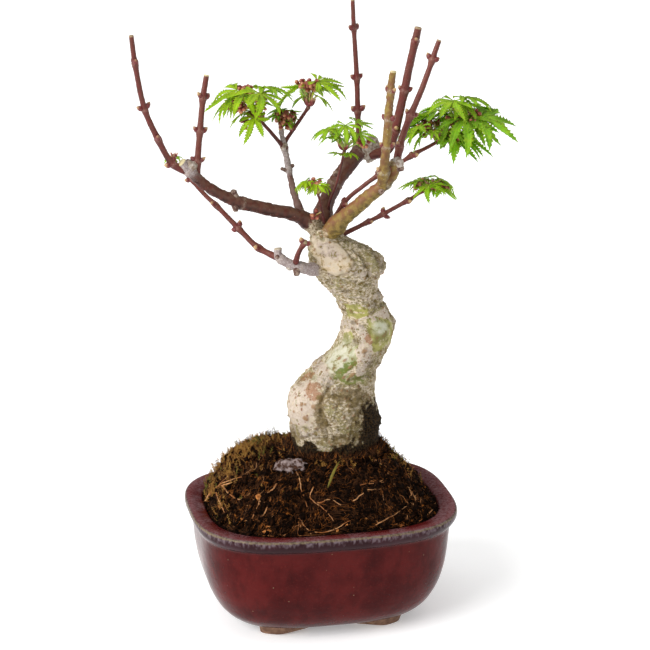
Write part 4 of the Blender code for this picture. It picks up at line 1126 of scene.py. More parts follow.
class BarkPlaces:
    """Distances over the trunk's skin from places given as a direction and a height."""

    def __init__(self, rings, stations, degrees):
        self.degrees = degrees[None, :]
        self.height = stations[:, :1]
        self.girth = (stations[:, 3:4] + stations[:, 4:5]) / 2
        self.ragged = layered(rings, 4.0, 5, 4) * 0.2

    def gaps(self, direction, height):
        """How far a place is from every point, round the trunk and upwards."""
        return np.radians(angle_gap(direction, self.degrees)) * self.girth, height - self.height

    def far(self, direction, height, half_wide, half_high, tilt):
        """Distance from an oval's middle, 1 on its ragged edge."""
        across, up = self.gaps(direction, height)
        cosine, sine = math.cos(math.radians(tilt)), math.sin(math.radians(tilt))
        along, over = across * cosine + up * sine, up * cosine - across * sine
        return np.hypot(along / half_wide, over / half_high) + self.ragged

    def patches(self, places, soft=0.05):
        """1 inside any of the ovals and 0 outside them."""
        return np.max([1 - step_between(self.far(*place), 1 - soft, 1 + soft) for place in places], axis=0)

    def line(self, points):
        """Distance from the nearest stretch of a bent line."""
        ends = [np.stack(np.broadcast_arrays(*self.gaps(*point)), -1) for point in points]
        far = []
        for start, end in zip(ends[:-1], ends[1:]):
            run = end - start
            share = np.clip(-(start * run).sum(-1) / (run * run).sum(-1), 0, 1)
            far.append(np.linalg.norm(start + run * share[..., None], axis=-1))
        return np.min(far, axis=0)


def trunk_form():
    """The trunk's stations as rings, each half width and half depth plus flares and knobs, which
    are bells round a direction and, for a knob, up from a height."""
    stations = smooth_rows(TRUNK_RINGS, TRUNK_ROWS)
    turn = np.arange(TRUNK_COLUMNS) * 2 * math.pi / TRUNK_COLUMNS
    degrees = np.degrees(turn)
    height, x, y, half_width, half_depth = (stations[:, k:k + 1] for k in range(5))
    out = 0.0
    for direction, amount in FLARES:
        out = out + amount * bell(angle_gap(degrees, direction), 22) * bell(height - TRUNK_CUT, FLARE_HEIGHT)
    for direction, level, amount, wide in KNOBS:
        span = np.degrees(wide / half_width)
        out = out + amount * bell(angle_gap(degrees, direction), span) * bell(height - level, wide)
    rings = np.stack([x + (half_width + out) * np.cos(turn), y + (half_depth + out) * np.sin(turn),
                      height + 0 * out], -1)
    return rings, stations, degrees


def bark_marks(rings, stations, degrees):
    """The bark's marks, each from 0 to 1, and how far its skin stands out in millimetres: domes
    that fall off as 1 less the distance squared to the power 0.7, then ridges, grooves, warts,
    folds and scales."""
    places = BarkPlaces(rings, stations, degrees)
    height = rings[..., 2]
    marks = {name: places.patches(spots, soft) for name, (spots, soft) in BARK_MARKS.items()}
    even = np.maximum.reduce([marks["olive"], marks["sage"], marks["vivid"], marks["white"] * 0.7,
                              places.patches(SMOOTH_PATCHES, 0.3) * 0.9])
    relief = np.zeros_like(height)
    crease_shade = np.zeros_like(height)
    for *place, amount in SWELLINGS:
        far = places.far(*place)
        relief = relief + amount * np.clip(1 - far**2, 0, 1) ** 0.7
        # Painted shade along each swelling's edge.
        crease_shade = np.maximum(crease_shade, bell(far - 1.03, 0.08) * 0.35)
    for points, half, depth in RIDGES:
        band = bell(places.line(points) * (1 + places.ragged * 1.5), half)
        relief = relief + depth * band
        even = even * (1 - band * 0.4)
        for key in ("olive", "vivid", "sage"):
            marks[key] = marks[key] * (1 - step_between(band, 0.25, 0.45))
        marks["white"] = np.maximum(marks["white"], step_between(band, 0.2, 0.6) * 0.85)
        crease_shade = crease_shade * (1 - band)
    for points, half, depth in GROOVES:
        band = bell(places.line(points) * (1 + places.ragged), half)
        relief = relief + depth * band
        # Painted shade in the grooves.
        crease_shade = np.maximum(crease_shade, band * 0.6)
    folds = noise(rings, np.array([6.0, 6.0, 1.3]), 71) + 0.6 * noise(rings, np.array([3.0, 3.0, 0.8]), 72)
    for middle, half, depth in WRINKLES:
        near = bell(height - middle, half)
        relief = relief + depth * folds * near * (1 - even)
        flakes = step_between(folds * near, 0.1, 0.35)
        marks["white"] = np.maximum(marks["white"], flakes * 0.7)
        marks["olive"] = marks["olive"] * (1 - flakes)
    marks["rough"] = 1 - even
    lumpy = layered(rings, (4.6, 4.6, 2.6), 41, 4)
    relief = relief + marks["rough"] * (lumpy * 0.42 + layered(rings, 9.0, 44, 2) * 0.2)
    for size, seed, amount in ((2.6, 51, 0.4), (1.3, 61, 0.3)):
        far, number = cells(rings, size, seed)
        relief = relief + marks["rough"] * (0.55 - far) * amount * size * (number > 0.2)
    far, number = cells(rings, 2.4, 91)
    wart = (number > 0.76 + 0.16 * even) * (1 - step_between(far, 0.22, 0.4))
    for direction, level, half in WARTS:
        gap = np.hypot(*places.gaps(direction, level)) / half
        wart = np.maximum(wart, 1 - step_between(gap, 0.7, 1.25))
    marks["wart"] = wart
    relief = relief + wart * 0.55
    # Painted shade where the relief sinks into hollows.
    hollow_shade = step_between(-lumpy - 0.5 * layered(rings, 9.0, 44, 2), 0.25, 0.9)
    marks["crease_shade"] = np.maximum(crease_shade, hollow_shade * marks["rough"] * 0.75)
    skirt = step_between(-height - layered(rings, 5.0, 81, 3) * 5, -100, -90)
    marks["damp"] = np.maximum(marks["damp"], skirt)
    return marks, relief


def make_trunk(settings):
    rings, stations, degrees = trunk_form()
    marks, relief = bark_marks(rings, stations, degrees)
    fade = step_between(rings[..., 2], TRUNK_CUT, TRUNK_CUT + 2)
    skin = rings + outward(rings) * (relief * fade * settings.relief)[..., None]
    surface = trunk_finish(tuple(settings.cream), tuple(settings.tan), tuple(settings.olive))
    values = {name: end_values(value[None]) for name, value in marks.items()}
    trunk = new_piece("trunk_bark", with_ends(skin[None]), tube_faces(1, TRUNK_ROWS, TRUNK_COLUMNS),
                      [surface], values=values)
    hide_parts("trunk")
    return trunk


# The limbs

def limb_radii(limb, path):
    share = np.linspace(0, 1, len(path))
    length = np.linalg.norm(np.diff(path, axis=0), axis=1).sum()
    radii = np.interp(share, [0, 1], limb["width"]) / 2
    swelling = sum(more * bell((share - at) * length, NODE_LENGTH) for at, more in limb.get("swell", []))
    return radii * (1 + swelling)


def limb_skin(name, limb):
    """A limb's rings: circles along its path, wider at its foot by a bell, with a thin ring at each
    leaf node, and noise that is stronger on old bark."""
    path = smooth_path(limb["path"], LIMB_STEP)
    radii = limb_radii(limb, path)
    along = np.linspace(0, 1, len(path)) * np.linalg.norm(np.diff(path, axis=0), axis=1).sum()
    old = 0.0 if limb["bark"] == "red_bark" else 1.0
    radii = radii * (1 + (0.1 + 0.14 * old) * bell(along - 2.4 * limb["width"][0] / 2, COLLAR_LENGTH))
    node = np.zeros(len(path))
    for at, _ in limb["swell"]:
        gap = along - at * along[-1]
        radii = radii * (1 + 0.07 * bell(gap - 0.6, 0.4) - 0.05 * bell(gap - 1.4, 0.5))
        node = np.maximum(node, bell(gap - 0.3, 0.8))
    radii[-1] *= 0.88
    rings = circles_along(path[None], radii[None], LIMB_COLUMNS)[0]
    out = unit(rings - path[:, None])
    relief = (0.06 + 0.24 * old) * layered(rings, 2.6, 5, 3)
    relief = relief + (0.05 + 0.1 * old) * noise(rings, 1.2, 9)
    relief = relief + 0.12 * old * noise(along[:, None, None] * np.ones((1, 1, 3)), 1.3, 6)
    ragged = along[:, None] + layered(rings, 4.0, 15, 3) * 3
    foot = 1 - step_between(ragged, ROOTED.get(name, -9) - 1.0, ROOTED.get(name, -9) + 1.0)
    first, last = WEATHERED.get(name, (9, 9))
    share = ragged / along[-1]
    column = np.ones(LIMB_COLUMNS)
    cut = (along > along[-1] - 0.6) * (1.0 if name in PALE_CUTS else 0.4)
    marks = {
        # upper: where the painted highlight goes, on the side that faces up and forwards
        "upper": step_between(out[..., 2] - out[..., 1] * 0.3, -0.3, 0.6),
        "node": node[:, None] * column,
        "cut": cut[:, None] * column,
        "foot": foot,
        "weathered": step_between(share, first - 0.04, first + 0.04) * (1 - step_between(share, last, last + 0.1)),
    }
    return rings + out * (relief + foot * 0.35 * layered(rings, 1.6, 19, 2))[..., None], marks


def make_limb(name, limb, surface):
    rings, marks = limb_skin(name, limb)
    values = {key: end_values(value[None]) for key, value in marks.items()}
    piece = new_piece(name + "_bark", with_ends(rings[None]), tube_faces(1, len(rings), LIMB_COLUMNS),
                      [surface], values=values)
    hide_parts(name)
    return piece


def make_burrs():
    """Callus and scar wood: balls from pole to pole, the sine and cosine of a tilt and a turn
    times the half sizes, pushed out by lumps."""
    rows, columns = 56, 80
    tilt = np.linspace(0.03, math.pi - 0.03, rows)[:, None]
    turn = np.arange(columns) * 2 * math.pi / columns
    ball = np.stack([np.sin(tilt) * np.cos(turn), np.sin(tilt) * np.sin(turn), -np.cos(tilt) + 0 * turn], -1)
    middles = np.array([middle for _, middle, _ in BURRS], float)[:, None, None]
    halves = np.array([half for _, _, half in BURRS], float)[:, None, None]
    rings = middles + ball * halves
    far, _ = cells(rings, 2.2, 95)
    lumpy = layered(rings, 4.5, 91, 4) * 0.34 + (0.6 - far) * 0.1
    rings = middles + ball * halves * (0.96 + lumpy)[..., None]
    surface = plain_finish("callus", (0.5, 0.44, 0.38), (0.27, 0.2, 0.15), 1.8, 0.75, 0.4)
    burrs = new_piece("callus_wood", with_ends(rings), tube_faces(len(BURRS), rows, columns), [surface])
    return burrs


def make_stubs():
    """Stubs of cut twigs: short tubes that narrow from the limb and end in a rounded cut."""
    feet, tips, widths = [], [], []
    for name, at, way, length, width in STUBS:
        path = smooth_path(LIMBS[name]["path"], 1.0)
        feet.append(path[round(at * (len(path) - 1))])
        tips.append(feet[-1] + unit(np.array(way)) * length)
        widths.append(width)
    share = np.linspace(0, 1, 24)
    paths = np.array(feet)[:, None] + (np.array(tips) - feet)[:, None] * share[:, None]
    radii = np.array(widths)[:, None] / 2 * (1.25 - 0.3 * share) * (1 - 0.35 * bell(share - 1, 0.06))
    rings = circles_along(paths, radii, 22)
    rings = rings + unit(rings - paths[..., None, :]) * (layered(rings, 1.7, 33, 3) * 0.28)[..., None]
    surface = plain_finish("cut_twigs", (0.3, 0.22, 0.17), (0.1, 0.05, 0.04), 2.0, 0.7, 0.3)
    stubs = new_piece("twig_stubs", with_ends(rings), tube_faces(len(rings), 24, 22), [surface])
    return stubs


def drops(feet, tips, widths, columns=8, rows=9, flat=1.0, belly=0.4, bend=0.0):
    """Pointed drops from foot to tip: circles whose radius rises and falls as the root of a sine
    over the length, sooner than halfway if the belly is under a half."""
    share = np.linspace(0.02, 0.98, rows)
    paths = feet[:, None] + (tips - feet)[:, None] * share[:, None]
    paths = paths + UP * (np.sin(share * math.pi) * bend)[:, None]
    power = math.log(0.5) / math.log(belly)
    scales = 1 - 0.1 * ((share * 3.2) % 1)
    radii = widths[:, None] / 2 * np.sin(share**power * math.pi) ** 0.7 * scales
    return circles_along(paths, radii, columns, AWAY, flat)


def limb_buds(limb):
    """Feet and tips of the two buds that face each other at each of a limb's leaf nodes."""
    path = smooth_path(limb["path"], 1.0)
    radii = limb_radii(limb, path)
    ahead = unit(np.gradient(path, axis=0))
    feet, tips = [], []
    for k, (at, _) in enumerate(limb["swell"]):
        i = round(at * (len(path) - 1))
        turn = math.radians(limb["buds"] + limb["twist"] * k)
        flat = np.array([math.cos(turn), math.sin(turn), 0.0])
        across = unit(flat - ahead[i] * flat.dot(ahead[i]))
        for way in (-1, 1):
            feet.append(path[i] + across * way * radii[i] * 0.35)
            tips.append(feet[-1] + (across * way * 0.74 + ahead[i] * 0.7) * BUD_LENGTH)
    return feet, tips


def make_buds(settings):
    """The winter buds: plump pointed drops that face each other, pressed towards their shoot."""
    found = [limb_buds(limb) for limb in LIMBS.values() if "buds" in limb]
    feet = np.array([foot for feet, _ in found for foot in feet])
    tips = np.array([tip for _, tips in found for tip in tips])
    rng = np.random.default_rng(17)
    plump = rng.uniform(0.9, 1.3, len(feet))
    tips = feet + (tips - feet) * rng.uniform(0.8, 1.1, (len(feet), 1))
    rings = drops(feet, tips, BUD_WIDTH * 1.35 * plump, columns=12, rows=15, belly=0.42)
    count, rows, columns = rings.shape[:3]
    tip = np.linspace(0, 1, rows)[None, :, None] * np.ones((count, 1, columns))
    tip = tip * rng.uniform(0.7, 1.15, (count, 1, 1))
    buds = new_piece("winter_buds", with_ends(rings), tube_faces(count, rows, columns),
                     [bud_finish("bud_scales", tuple(settings.bud), (0.46, 0.3, 0.14))],
                     values={"tip": end_values(tip)})
    return buds


# The foliage

def sprays_of(mass):
    """The leaves and flowers of a mass by the source's seeded rule, drawn in the same order."""
    rng = np.random.default_rng(mass["seed"])
    stem = smooth_path(mass["stem"], 1.0)
    leaves, flowers = [], []
    for spray, tone in zip(mass["sprays"], mass["tones"]):
        foot = stem[round(spray["at"] * (len(stem) - 1))]
        for k in range(spray["leaves"]):
            share = (k + 0.5) / spray["leaves"]
            turn = math.radians(spray["first"] + spray["sweep"] * share + rng.uniform(-9, 9))
            rise = math.radians(spray["rise"] + rng.uniform(-11, 11))
            hang = math.radians(spray["hang"] + rng.uniform(-12, 12))
            stalk = spray["stalk"] * rng.uniform(0.8, 1.15)
            flat = np.array([math.cos(turn), math.sin(turn), 0.0])
            leaves.append(dict(
                foot=foot, tone=tone,
                base=foot + stalk * (flat * math.cos(rise) + UP * math.sin(rise)),
                midrib=flat * math.cos(hang) - UP * math.sin(hang),
                roll=math.radians(rng.uniform(-16, 16)),
                size=spray["size"] * rng.uniform(0.84, 1.08)))
        for k in range(spray["flowers"]):
            turn = math.radians(spray["first"] + spray["sweep"] * rng.uniform(0, 1))
            rise = math.radians(spray["rise"] + rng.uniform(-35, 25))
            reach = spray["stalk"] * rng.uniform(0.75, 1.1)
            flat = np.array([math.cos(turn), math.sin(turn), 0.0])
            flowers.append(dict(
                foot=foot, head=foot + reach * (flat * math.cos(rise) + UP * math.sin(rise))))
    return stem, leaves, flowers


def blade_frame(leaf):
    """The leaf's midrib, its other side and its upper face's direction."""
    along = unit(leaf["midrib"])
    across = unit(np.cross(UP, along))
    face = np.cross(along, across)
    turned = across * math.cos(leaf["roll"]) + face * math.sin(leaf["roll"])
    return along, turned, np.cross(along, turned)


def source_samples(leaf):
    """Points over the source's stalk and blade, for its own test against the neighbours."""
    along, across, face = blade_frame(leaf)
    star = []
    for k, (angle, reach) in enumerate(SOURCE_LOBES):
        if k:
            between = (angle + SOURCE_LOBES[k - 1][0]) / 2
            star.append((between, LEAF_NOTCH * (0.75 + 0.25 * math.cos(math.radians(between)))))
        star.append((angle, reach))
    star.append((180, 0.04))
    turn, reach = np.radians([angle for angle, _ in star])[:, None], np.array([r for _, r in star])[:, None]
    edge = leaf["base"] + leaf["size"] * reach * (
        along * np.cos(turn) + across * np.sin(turn) - face * LEAF_SAG * reach)
    middle = leaf["base"] + along * leaf["size"] * 0.1
    spread = [middle + (edge - middle) * share for share in (0.35, 0.7, 1.0)]
    stalk = [leaf["foot"] + (leaf["base"] - leaf["foot"]) * share for share in (0.4, 0.7, 1.0)]
    return np.concatenate([*spread, stalk])


def nearest(points, others):
    return np.linalg.norm(points[:, None] - others[None], axis=2)


def is_clear(points, limbs, taken):
    """Whether the points keep away from every limb and from the other masses."""
    for path, radii in limbs:
        if (nearest(points, path) - radii).min() < LEAF_CLEARANCE:
            return False
    return all(nearest(points, other).min() > LEAF_CLEARANCE * 2 for other in taken)


def limb_lines():
    """Each limb and the trunk as closely spaced points with radii."""
    lines = []
    for limb in LIMBS.values():
        path = smooth_path(limb["path"], 1.0)
        lines.append((path, limb_radii(limb, path)))
    form = np.array(TRUNK_RINGS)
    lines.append((form[:, [1, 2, 0]], form[:, 3]))
    return lines


def finer_leaves(leaves, limbs, seed):
    """Smaller leaves beside the source's own, on shorter stalks within the same reach."""
    rng = np.random.default_rng(seed + 900)
    finer = []
    for leaf in leaves + leaves:
        stalk = leaf["base"] - leaf["foot"]
        turn = rng.choice([-1, 1]) * rng.uniform(0.35, 1.1)
        cosine, sine = math.cos(turn), math.sin(turn)
        spin = np.array([[cosine, -sine, 0], [sine, cosine, 0], [0, 0, 1]])
        small = dict(leaf, base=leaf["foot"] + spin @ stalk * rng.uniform(0.5, 0.9),
                     midrib=spin @ leaf["midrib"] - UP * rng.uniform(-0.2, 0.4),
                     size=leaf["size"] * rng.uniform(0.4, 0.75))
        if rng.uniform() < 0.7 and is_clear(source_samples(small), limbs, []):
            finer.append(small)
    return finer


def finer_flowers(flowers, seed):
    """Two more flower heads beside each of the source's own, nearer to the spray's foot."""
    rng = np.random.default_rng(seed + 950)
    finer = []
    for flower in flowers + flowers:
        turn = rng.choice([-1, 1]) * rng.uniform(0.5, 1.4)
        cosine, sine = math.cos(turn), math.sin(turn)
        spin = np.array([[cosine, -sine, 0], [sine, cosine, 0], [0, 0, 1]])
        stalk = spin @ (flower["head"] - flower["foot"])
        finer.append(dict(flower, head=flower["foot"] + stalk * rng.uniform(0.6, 1.0)))
    return finer


def grown_masses():
    """Every mass's stem, leaves and flowers that are clear of their neighbours, as in the source,
    with finer leaves added."""
    limbs, taken, grown = limb_lines(), [], {}
    for name, mass in MASSES.items():
        stem, leaves, flowers = sprays_of(mass)
        own, kept_leaves, kept_flowers = [], [], []
        for leaf in leaves:
            samples = source_samples(leaf)
            if is_clear(samples, limbs, taken):
                kept_leaves.append(leaf)
                own.append(samples)
        for flower in flowers:
            if is_clear(flower["head"][None], limbs, taken):
                kept_flowers.append(flower)
                own.append(flower["head"][None])
        own.append(stem)
        taken.append(np.concatenate(own))
        kept_leaves = kept_leaves + finer_leaves(kept_leaves, limbs, mass["seed"])
        if name in FLOWERING:
            kept_flowers = kept_flowers + finer_flowers(kept_flowers, mass["seed"])
        grown[name] = stem, kept_leaves, kept_flowers
    return grown


def lobe_shares():
    """Where a lobe's rings lie beyond the notch, with how far its edge stands out at each: two for
    every tooth, before and at its point."""
    tooth = np.arange(TEETH)[:, None]
    share = ((tooth + np.array([0.12, 0.8])) / TEETH).ravel()
    stands = np.tile([0.72, 1.28], TEETH)
    return np.append(share, 0.995), np.append(stands, 1.0)


def blade_rings(leaves, rng):
    """Every lobe of every leaf as a flat closed tube. A lobe's half width is that of its slice of
    the blade up to the notch, and beyond it (1 + 1.6 t) (1 - t)^0.95 of that, with teeth. Its edges
    are lifted in a fold, and it sags with the square of the distance from the leaf's foot."""
    frames = np.array([blade_frame(leaf) for leaf in leaves])
    along, across, face = (frames[:, k, None, None, None] for k in range(3))
    base = np.array([leaf["base"] for leaf in leaves])[:, None, None, None]
    size = np.array([leaf["size"] for leaf in leaves])[:, None, None, None]
    count, lobes = len(leaves), len(FINE_LOBES)
    beyond, stands = lobe_shares()
    share = np.concatenate([[0, 0, 0], beyond])[:, None]
    inner = np.concatenate([[0.02, 0.5, 1.0], np.ones(len(beyond))])[:, None]
    stands = np.concatenate([[1, 1, 1], stands])[:, None]
    side = np.array([1.0, 0.5, 0.0, -0.5, -1.0, 0.0])
    layer = np.array([0.0, 0.35, 0.5, 0.35, 0.0, -0.5]) * 0.2
    reach = np.array([r for _, r in FINE_LOBES]) * rng.uniform(0.88, 1.05, (count, lobes))
    angle = np.radians([a for a, _ in FINE_LOBES]) + rng.normal(0, 0.06, (count, lobes))
    bend = rng.normal(0, 0.12, (count, lobes, 1, 1)) * share**1.5
    angle, reach = angle[..., None, None] + bend, reach[..., None, None]
    slice_half = math.radians(19.5)
    half = FINE_NOTCH * math.sin(slice_half) * inner * (1 + 1.6 * share) * (1 - share) ** 0.95 * stands
    half = half * (0.35 + 0.65 * reach)
    centre = FINE_NOTCH * inner + (reach - FINE_NOTCH) * share
    over = half * side
    x = centre * np.cos(angle) - over * np.sin(angle)
    y = centre * np.sin(angle) + over * np.cos(angle)
    sag = LEAF_SAG * rng.uniform(0.1, 1.2, (count, 1, 1, 1))
    curl = rng.uniform(-0.12, 0.22, (count, lobes, 1, 1)) * share**2 * reach
    lift = 0.5 * np.abs(side) * half - sag * (x**2 + y**2) - curl
    rings = base + size[..., None] * (along * x[..., None] + across * y[..., None] + face * lift[..., None])
    rings = rings + face * (layer * np.ones_like(x))[..., None]
    from_rib = np.abs(side) * np.ones_like(x)
    veins = (0.5 + 0.5 * np.sin((centre * 22 - np.abs(side) * 2.0) * 2 * math.pi)) * np.ones_like(x)
    flat = (count * lobes, len(share), len(side))
    return rings.reshape(*flat, 3), from_rib.reshape(flat), veins.reshape(flat)


def make_blades(name, leaves, tones):
    rng = np.random.default_rng(MASSES[name]["seed"] + 500)
    rings, from_rib, veins = blade_rings(leaves, rng)
    count, rows, columns = rings.shape[:3]
    faces = tube_faces(count, rows, columns)
    order = list(tones)
    worn_by = np.repeat([order.index(leaf["tone"]) for leaf in leaves], len(FINE_LOBES))
    worn = np.concatenate([np.repeat(worn_by, len(face) // count) for face in faces])
    values = {"from_rib": end_values(from_rib), "veins": end_values(veins)}
    blades = new_piece(name + "_blades", with_ends(rings), faces, list(tones.values()), worn, values)
    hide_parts(name)
    return blades


def bowed(feet, tips, rows, bow):
    """Paths from foot to tip that are bowed upwards by a share of their length."""
    share = np.linspace(0, 1, rows)[:, None]
    length = np.linalg.norm(tips - feet, axis=-1)[:, None, None]
    return feet[:, None] + (tips - feet)[:, None] * share + UP * np.sin(share * math.pi) * length * bow


def make_stalks(grown):
    leaves = [leaf for _, found, _ in grown.values() for leaf in found]
    flowers = [flower for _, _, found in grown.values() for flower in found]
    feet = np.array([each["foot"] for each in leaves + flowers])
    tips = np.array([leaf["base"] + unit(leaf["midrib"]) * 0.6 for leaf in leaves]
                    + [flower["head"] for flower in flowers])
    paths = bowed(feet, tips, 9, 0.07)
    radii = np.linspace(0.62, 0.36, 9) * np.ones((len(paths), 1))
    radii[len(leaves):] *= 0.7
    rings = circles_along(paths, radii, 7)
    surface = plain_finish("leaf_stalk", (0.4, 0.5, 0.12), (0.45, 0.3, 0.12), 4.0, 0.4, 0.03)
    stalks = new_piece("leaf_stalks", with_ends(rings), tube_faces(len(rings), 9, 7), [surface])
    return stalks


def make_stems(grown, surface):
    """The masses' own stems as tapering twigs with a swollen foot and tip."""
    rows, rings = 40, []
    share = np.linspace(0, 1, rows)
    for name in grown:
        path = smooth_rows(MASSES[name]["stem"], rows)
        radii = np.interp(share, [0, 1], MASSES[name]["width"]) / 2
        radii = radii * (1 + 0.35 * bell(share, 0.08) + 0.4 * bell(share - 0.97, 0.06))
        rings.append(circles_along(path, radii, 14))
    rings = np.array(rings)
    out = unit(rings - rings.mean(axis=2, keepdims=True))
    node = np.ones(rings.shape[:3]) * bell(share - 0.97, 0.05)[:, None]
    # upper marks the side that takes the bark's painted highlight, as on the limbs
    values = {"upper": end_values(step_between(out[..., 2], -0.4, 0.5)), "node": end_values(node)}
    faces = tube_faces(len(rings), rows, 14)
    stems = new_piece("leafy_twigs", with_ends(rings), faces, [surface], values=values)
    return stems


def make_scales(grown):
    """The opened buds' scales: thin pointed straps that stand round the foot of each spray, shorter
    where its leaves are small."""
    rng = np.random.default_rng(23)
    leaves = [leaf for _, found, _ in grown.values() for leaf in found]
    feet, spray = np.unique(np.array([leaf["foot"] for leaf in leaves]), axis=0, return_inverse=True)
    largest = np.zeros(len(feet))
    np.maximum.at(largest, spray.ravel(), np.array([leaf["size"] for leaf in leaves]))
    count = 8
    turn = np.arange(count) * 2 * math.pi / count + rng.uniform(0, 6, (len(feet), 1))
    flat = np.stack([np.cos(turn), np.sin(turn), 0 * turn], -1)
    rise = rng.uniform(0.6, 2.2, turn.shape)[..., None]
    length = rng.uniform(2.6, 6.5, turn.shape) * np.clip(largest / 13, 0.3, 1)[:, None]
    roots = (feet[:, None] + flat * 0.5).reshape(-1, 3)
    tips = (feet[:, None] + unit(flat + UP * rise) * length[..., None]).reshape(-1, 3)
    rings = drops(roots, tips, length.ravel() * 0.36, columns=8, rows=9, flat=0.3, bend=-0.3)
    tip = np.linspace(0, 1, 9)[None, :, None] * np.ones((len(rings), 1, 8))
    scales = new_piece("bud_scales", with_ends(rings), tube_faces(len(rings), 9, 8),
                       [bud_finish("scale_red", (0.22, 0.03, 0.03), (0.5, 0.26, 0.16))],
                       values={"tip": end_values(tip)})
    return scales


def make_flowers(grown):
    """Flower buds: seven small round drops that hang together from the tip of each flower's stalk."""
    rng = np.random.default_rng(29)
    heads = np.array([flower["head"] for _, _, found in grown.values() for flower in found])
    lean = unit(rng.normal(0, 1, (len(heads), 7, 3)) * (1, 1, 0.6) - UP * 0.4)
    feet = np.repeat(heads[:, None], 7, axis=1) + lean * rng.uniform(0.2, 1.8, (len(heads), 7, 1))
    tips = feet + lean * rng.uniform(2.1, 3.1, (len(heads), 7, 1))
    widths = rng.uniform(1.9, 2.7, len(heads) * 7)
    rings = drops(feet.reshape(-1, 3), tips.reshape(-1, 3), widths, columns=9, rows=9, belly=0.5)
    tip = np.linspace(0, 1, 9)[None, :, None] * np.ones((len(rings), 1, 9))
    flowers = new_piece("flower_buds", with_ends(rings), tube_faces(len(rings), 9, 9),
                        [bud_finish("flower_red", (0.24, 0.04, 0.025), (0.5, 0.22, 0.1))],
                        values={"tip": end_values(tip)})
    return flowers


# The stage

CAMERA_DISTANCE = 1100.0
CAMERA_RISE = math.radians(16.5)
CAMERA_TARGET = np.array([2.8, 0.0, 158.0])
CAMERA_LENS = 117.2


def make_camera():
    """The photograph's own view, from in front and a little above."""
    data = bpy.data.cameras.new("camera")
    data.lens = CAMERA_LENS
    data.sensor_width = 36.0
    camera = bpy.data.objects.new("camera", data)
    back = np.array([0.0, -math.cos(CAMERA_RISE), math.sin(CAMERA_RISE)])
    spot = CAMERA_TARGET + back * CAMERA_DISTANCE + pot_middle()
    camera.location = Vector(spot * MM)
    camera.rotation_euler = Vector(-back).to_track_quat("-Z", "Y").to_euler()
    bpy.context.scene.collection.objects.link(camera)
    bpy.context.scene.camera = camera


def aimed(name, kind, spot, power):
    """A light at a spot that faces the plant's middle."""
    data = bpy.data.lights.new(name, kind)
    data.energy = power
    light = bpy.data.objects.new(name, data)
    light.location = spot
    light.rotation_euler = (Vector((0, 0, 0.15)) - Vector(spot)).to_track_quat("-Z", "Y").to_euler()
    bpy.context.scene.collection.objects.link(light)
    return data


def make_floor(colour):
    size = 3.0
    mesh = bpy.data.meshes.new("floor")
    mesh.from_pydata([(-size, -size, 0), (size, -size, 0), (size, size, 0), (-size, size, 0)], [], [(0, 1, 2, 3)])
    finish = Finish("studio_floor")
    tone = finish.mix(finish.grain(40, 2) * 0.3, colour, darker(colour, 0.97))
    mesh.materials.append(finish.done(Base_Color=tone, Roughness=0.9, Emission_Color=(1.0, 1.0, 1.0),
                                      Emission_Strength=0.3))
    floor = bpy.data.objects.new("floor", mesh)
    bpy.context.scene.collection.objects.link(floor)


def make_world(strength):
    """A white backdrop that lights the plant less than it shows, as a studio's does."""
    world = bpy.data.worlds.new("studio")
    world.use_nodes = True
    nodes, links = world.node_tree.nodes, world.node_tree.links
    soft = nodes["Background"]
    soft.inputs["Color"].default_value = (1.0, 1.0, 1.0, 1.0)
    soft.inputs["Strength"].default_value = strength
    white = nodes.new("ShaderNodeBackground")
    white.inputs["Color"].default_value = (1.0, 1.0, 1.0, 1.0)
    path = nodes.new("ShaderNodeLightPath")
    choice = nodes.new("ShaderNodeMixShader")
    links.new(path.outputs["Is Camera Ray"], choice.inputs["Fac"])
    links.new(soft.outputs["Background"], choice.inputs[1])
    links.new(white.outputs["Background"], choice.inputs[2])
    links.new(choice.outputs["Shader"], nodes["World Output"].inputs["Surface"])
    bpy.context.scene.world = world
    bpy.context.scene.view_settings.view_transform = "Standard"


# Settings, operators and the panel

def colour_setting(name, description, default):
    return bpy.props.FloatVectorProperty(
        name=name, description=description, default=default, size=3, subtype="COLOR", min=0.0, max=1.0)


class PotSettings(bpy.types.PropertyGroup):
    glaze: colour_setting("Glaze", "The glaze on the pot's body", (0.05, 0.003, 0.003))
    band: colour_setting("Band", "Where the glaze has run thin under the lip", (0.035, 0.012, 0.017))
    edge: colour_setting("Edge", "The pale line where the glaze breaks on the lip", (0.2, 0.15, 0.09))
    rim: colour_setting("Rim", "The flat top of the lip", (0.12, 0.028, 0.028))
    wobble: bpy.props.FloatProperty(
        name="Wobble", description="How uneven the hand-made wall is", default=0.00035, unit="LENGTH")


class BarkSettings(bpy.types.PropertyGroup):
    cream: colour_setting("Cream", "The old bark's main colour", (0.68, 0.57, 0.42))
    tan: colour_setting("Tan", "The bark between its scales", (0.36, 0.27, 0.14))
    olive: colour_setting("Olive", "Smooth green places on the trunk", (0.34, 0.33, 0.08))
    bud: colour_setting("Bud", "The winter buds' scales", (0.15, 0.02, 0.018))
    relief: bpy.props.FloatProperty(
        name="Relief", description="How strong the bark's relief is", default=1.0, min=0.0, max=2.0)


class FoliageSettings(bpy.types.PropertyGroup):
    bright: colour_setting("Bright leaf", "The youngest leaves", (0.29, 0.47, 0.012))
    fresh: colour_setting("Fresh leaf", "Leaves between the two", (0.26, 0.46, 0.018))
    deep: colour_setting("Deep leaf", "The fullest leaves", (0.2, 0.41, 0.018))


class SoilSettings(bpy.types.PropertyGroup):
    crumbs: bpy.props.IntProperty(name="Crumbs", description="How many clods", default=6500, min=0)
    fibres: bpy.props.IntProperty(name="Fibres", description="How many of each kind", default=3800, min=0)
    moss_shoots: bpy.props.IntProperty(name="Moss", description="How many moss shoots", default=1900, min=0)


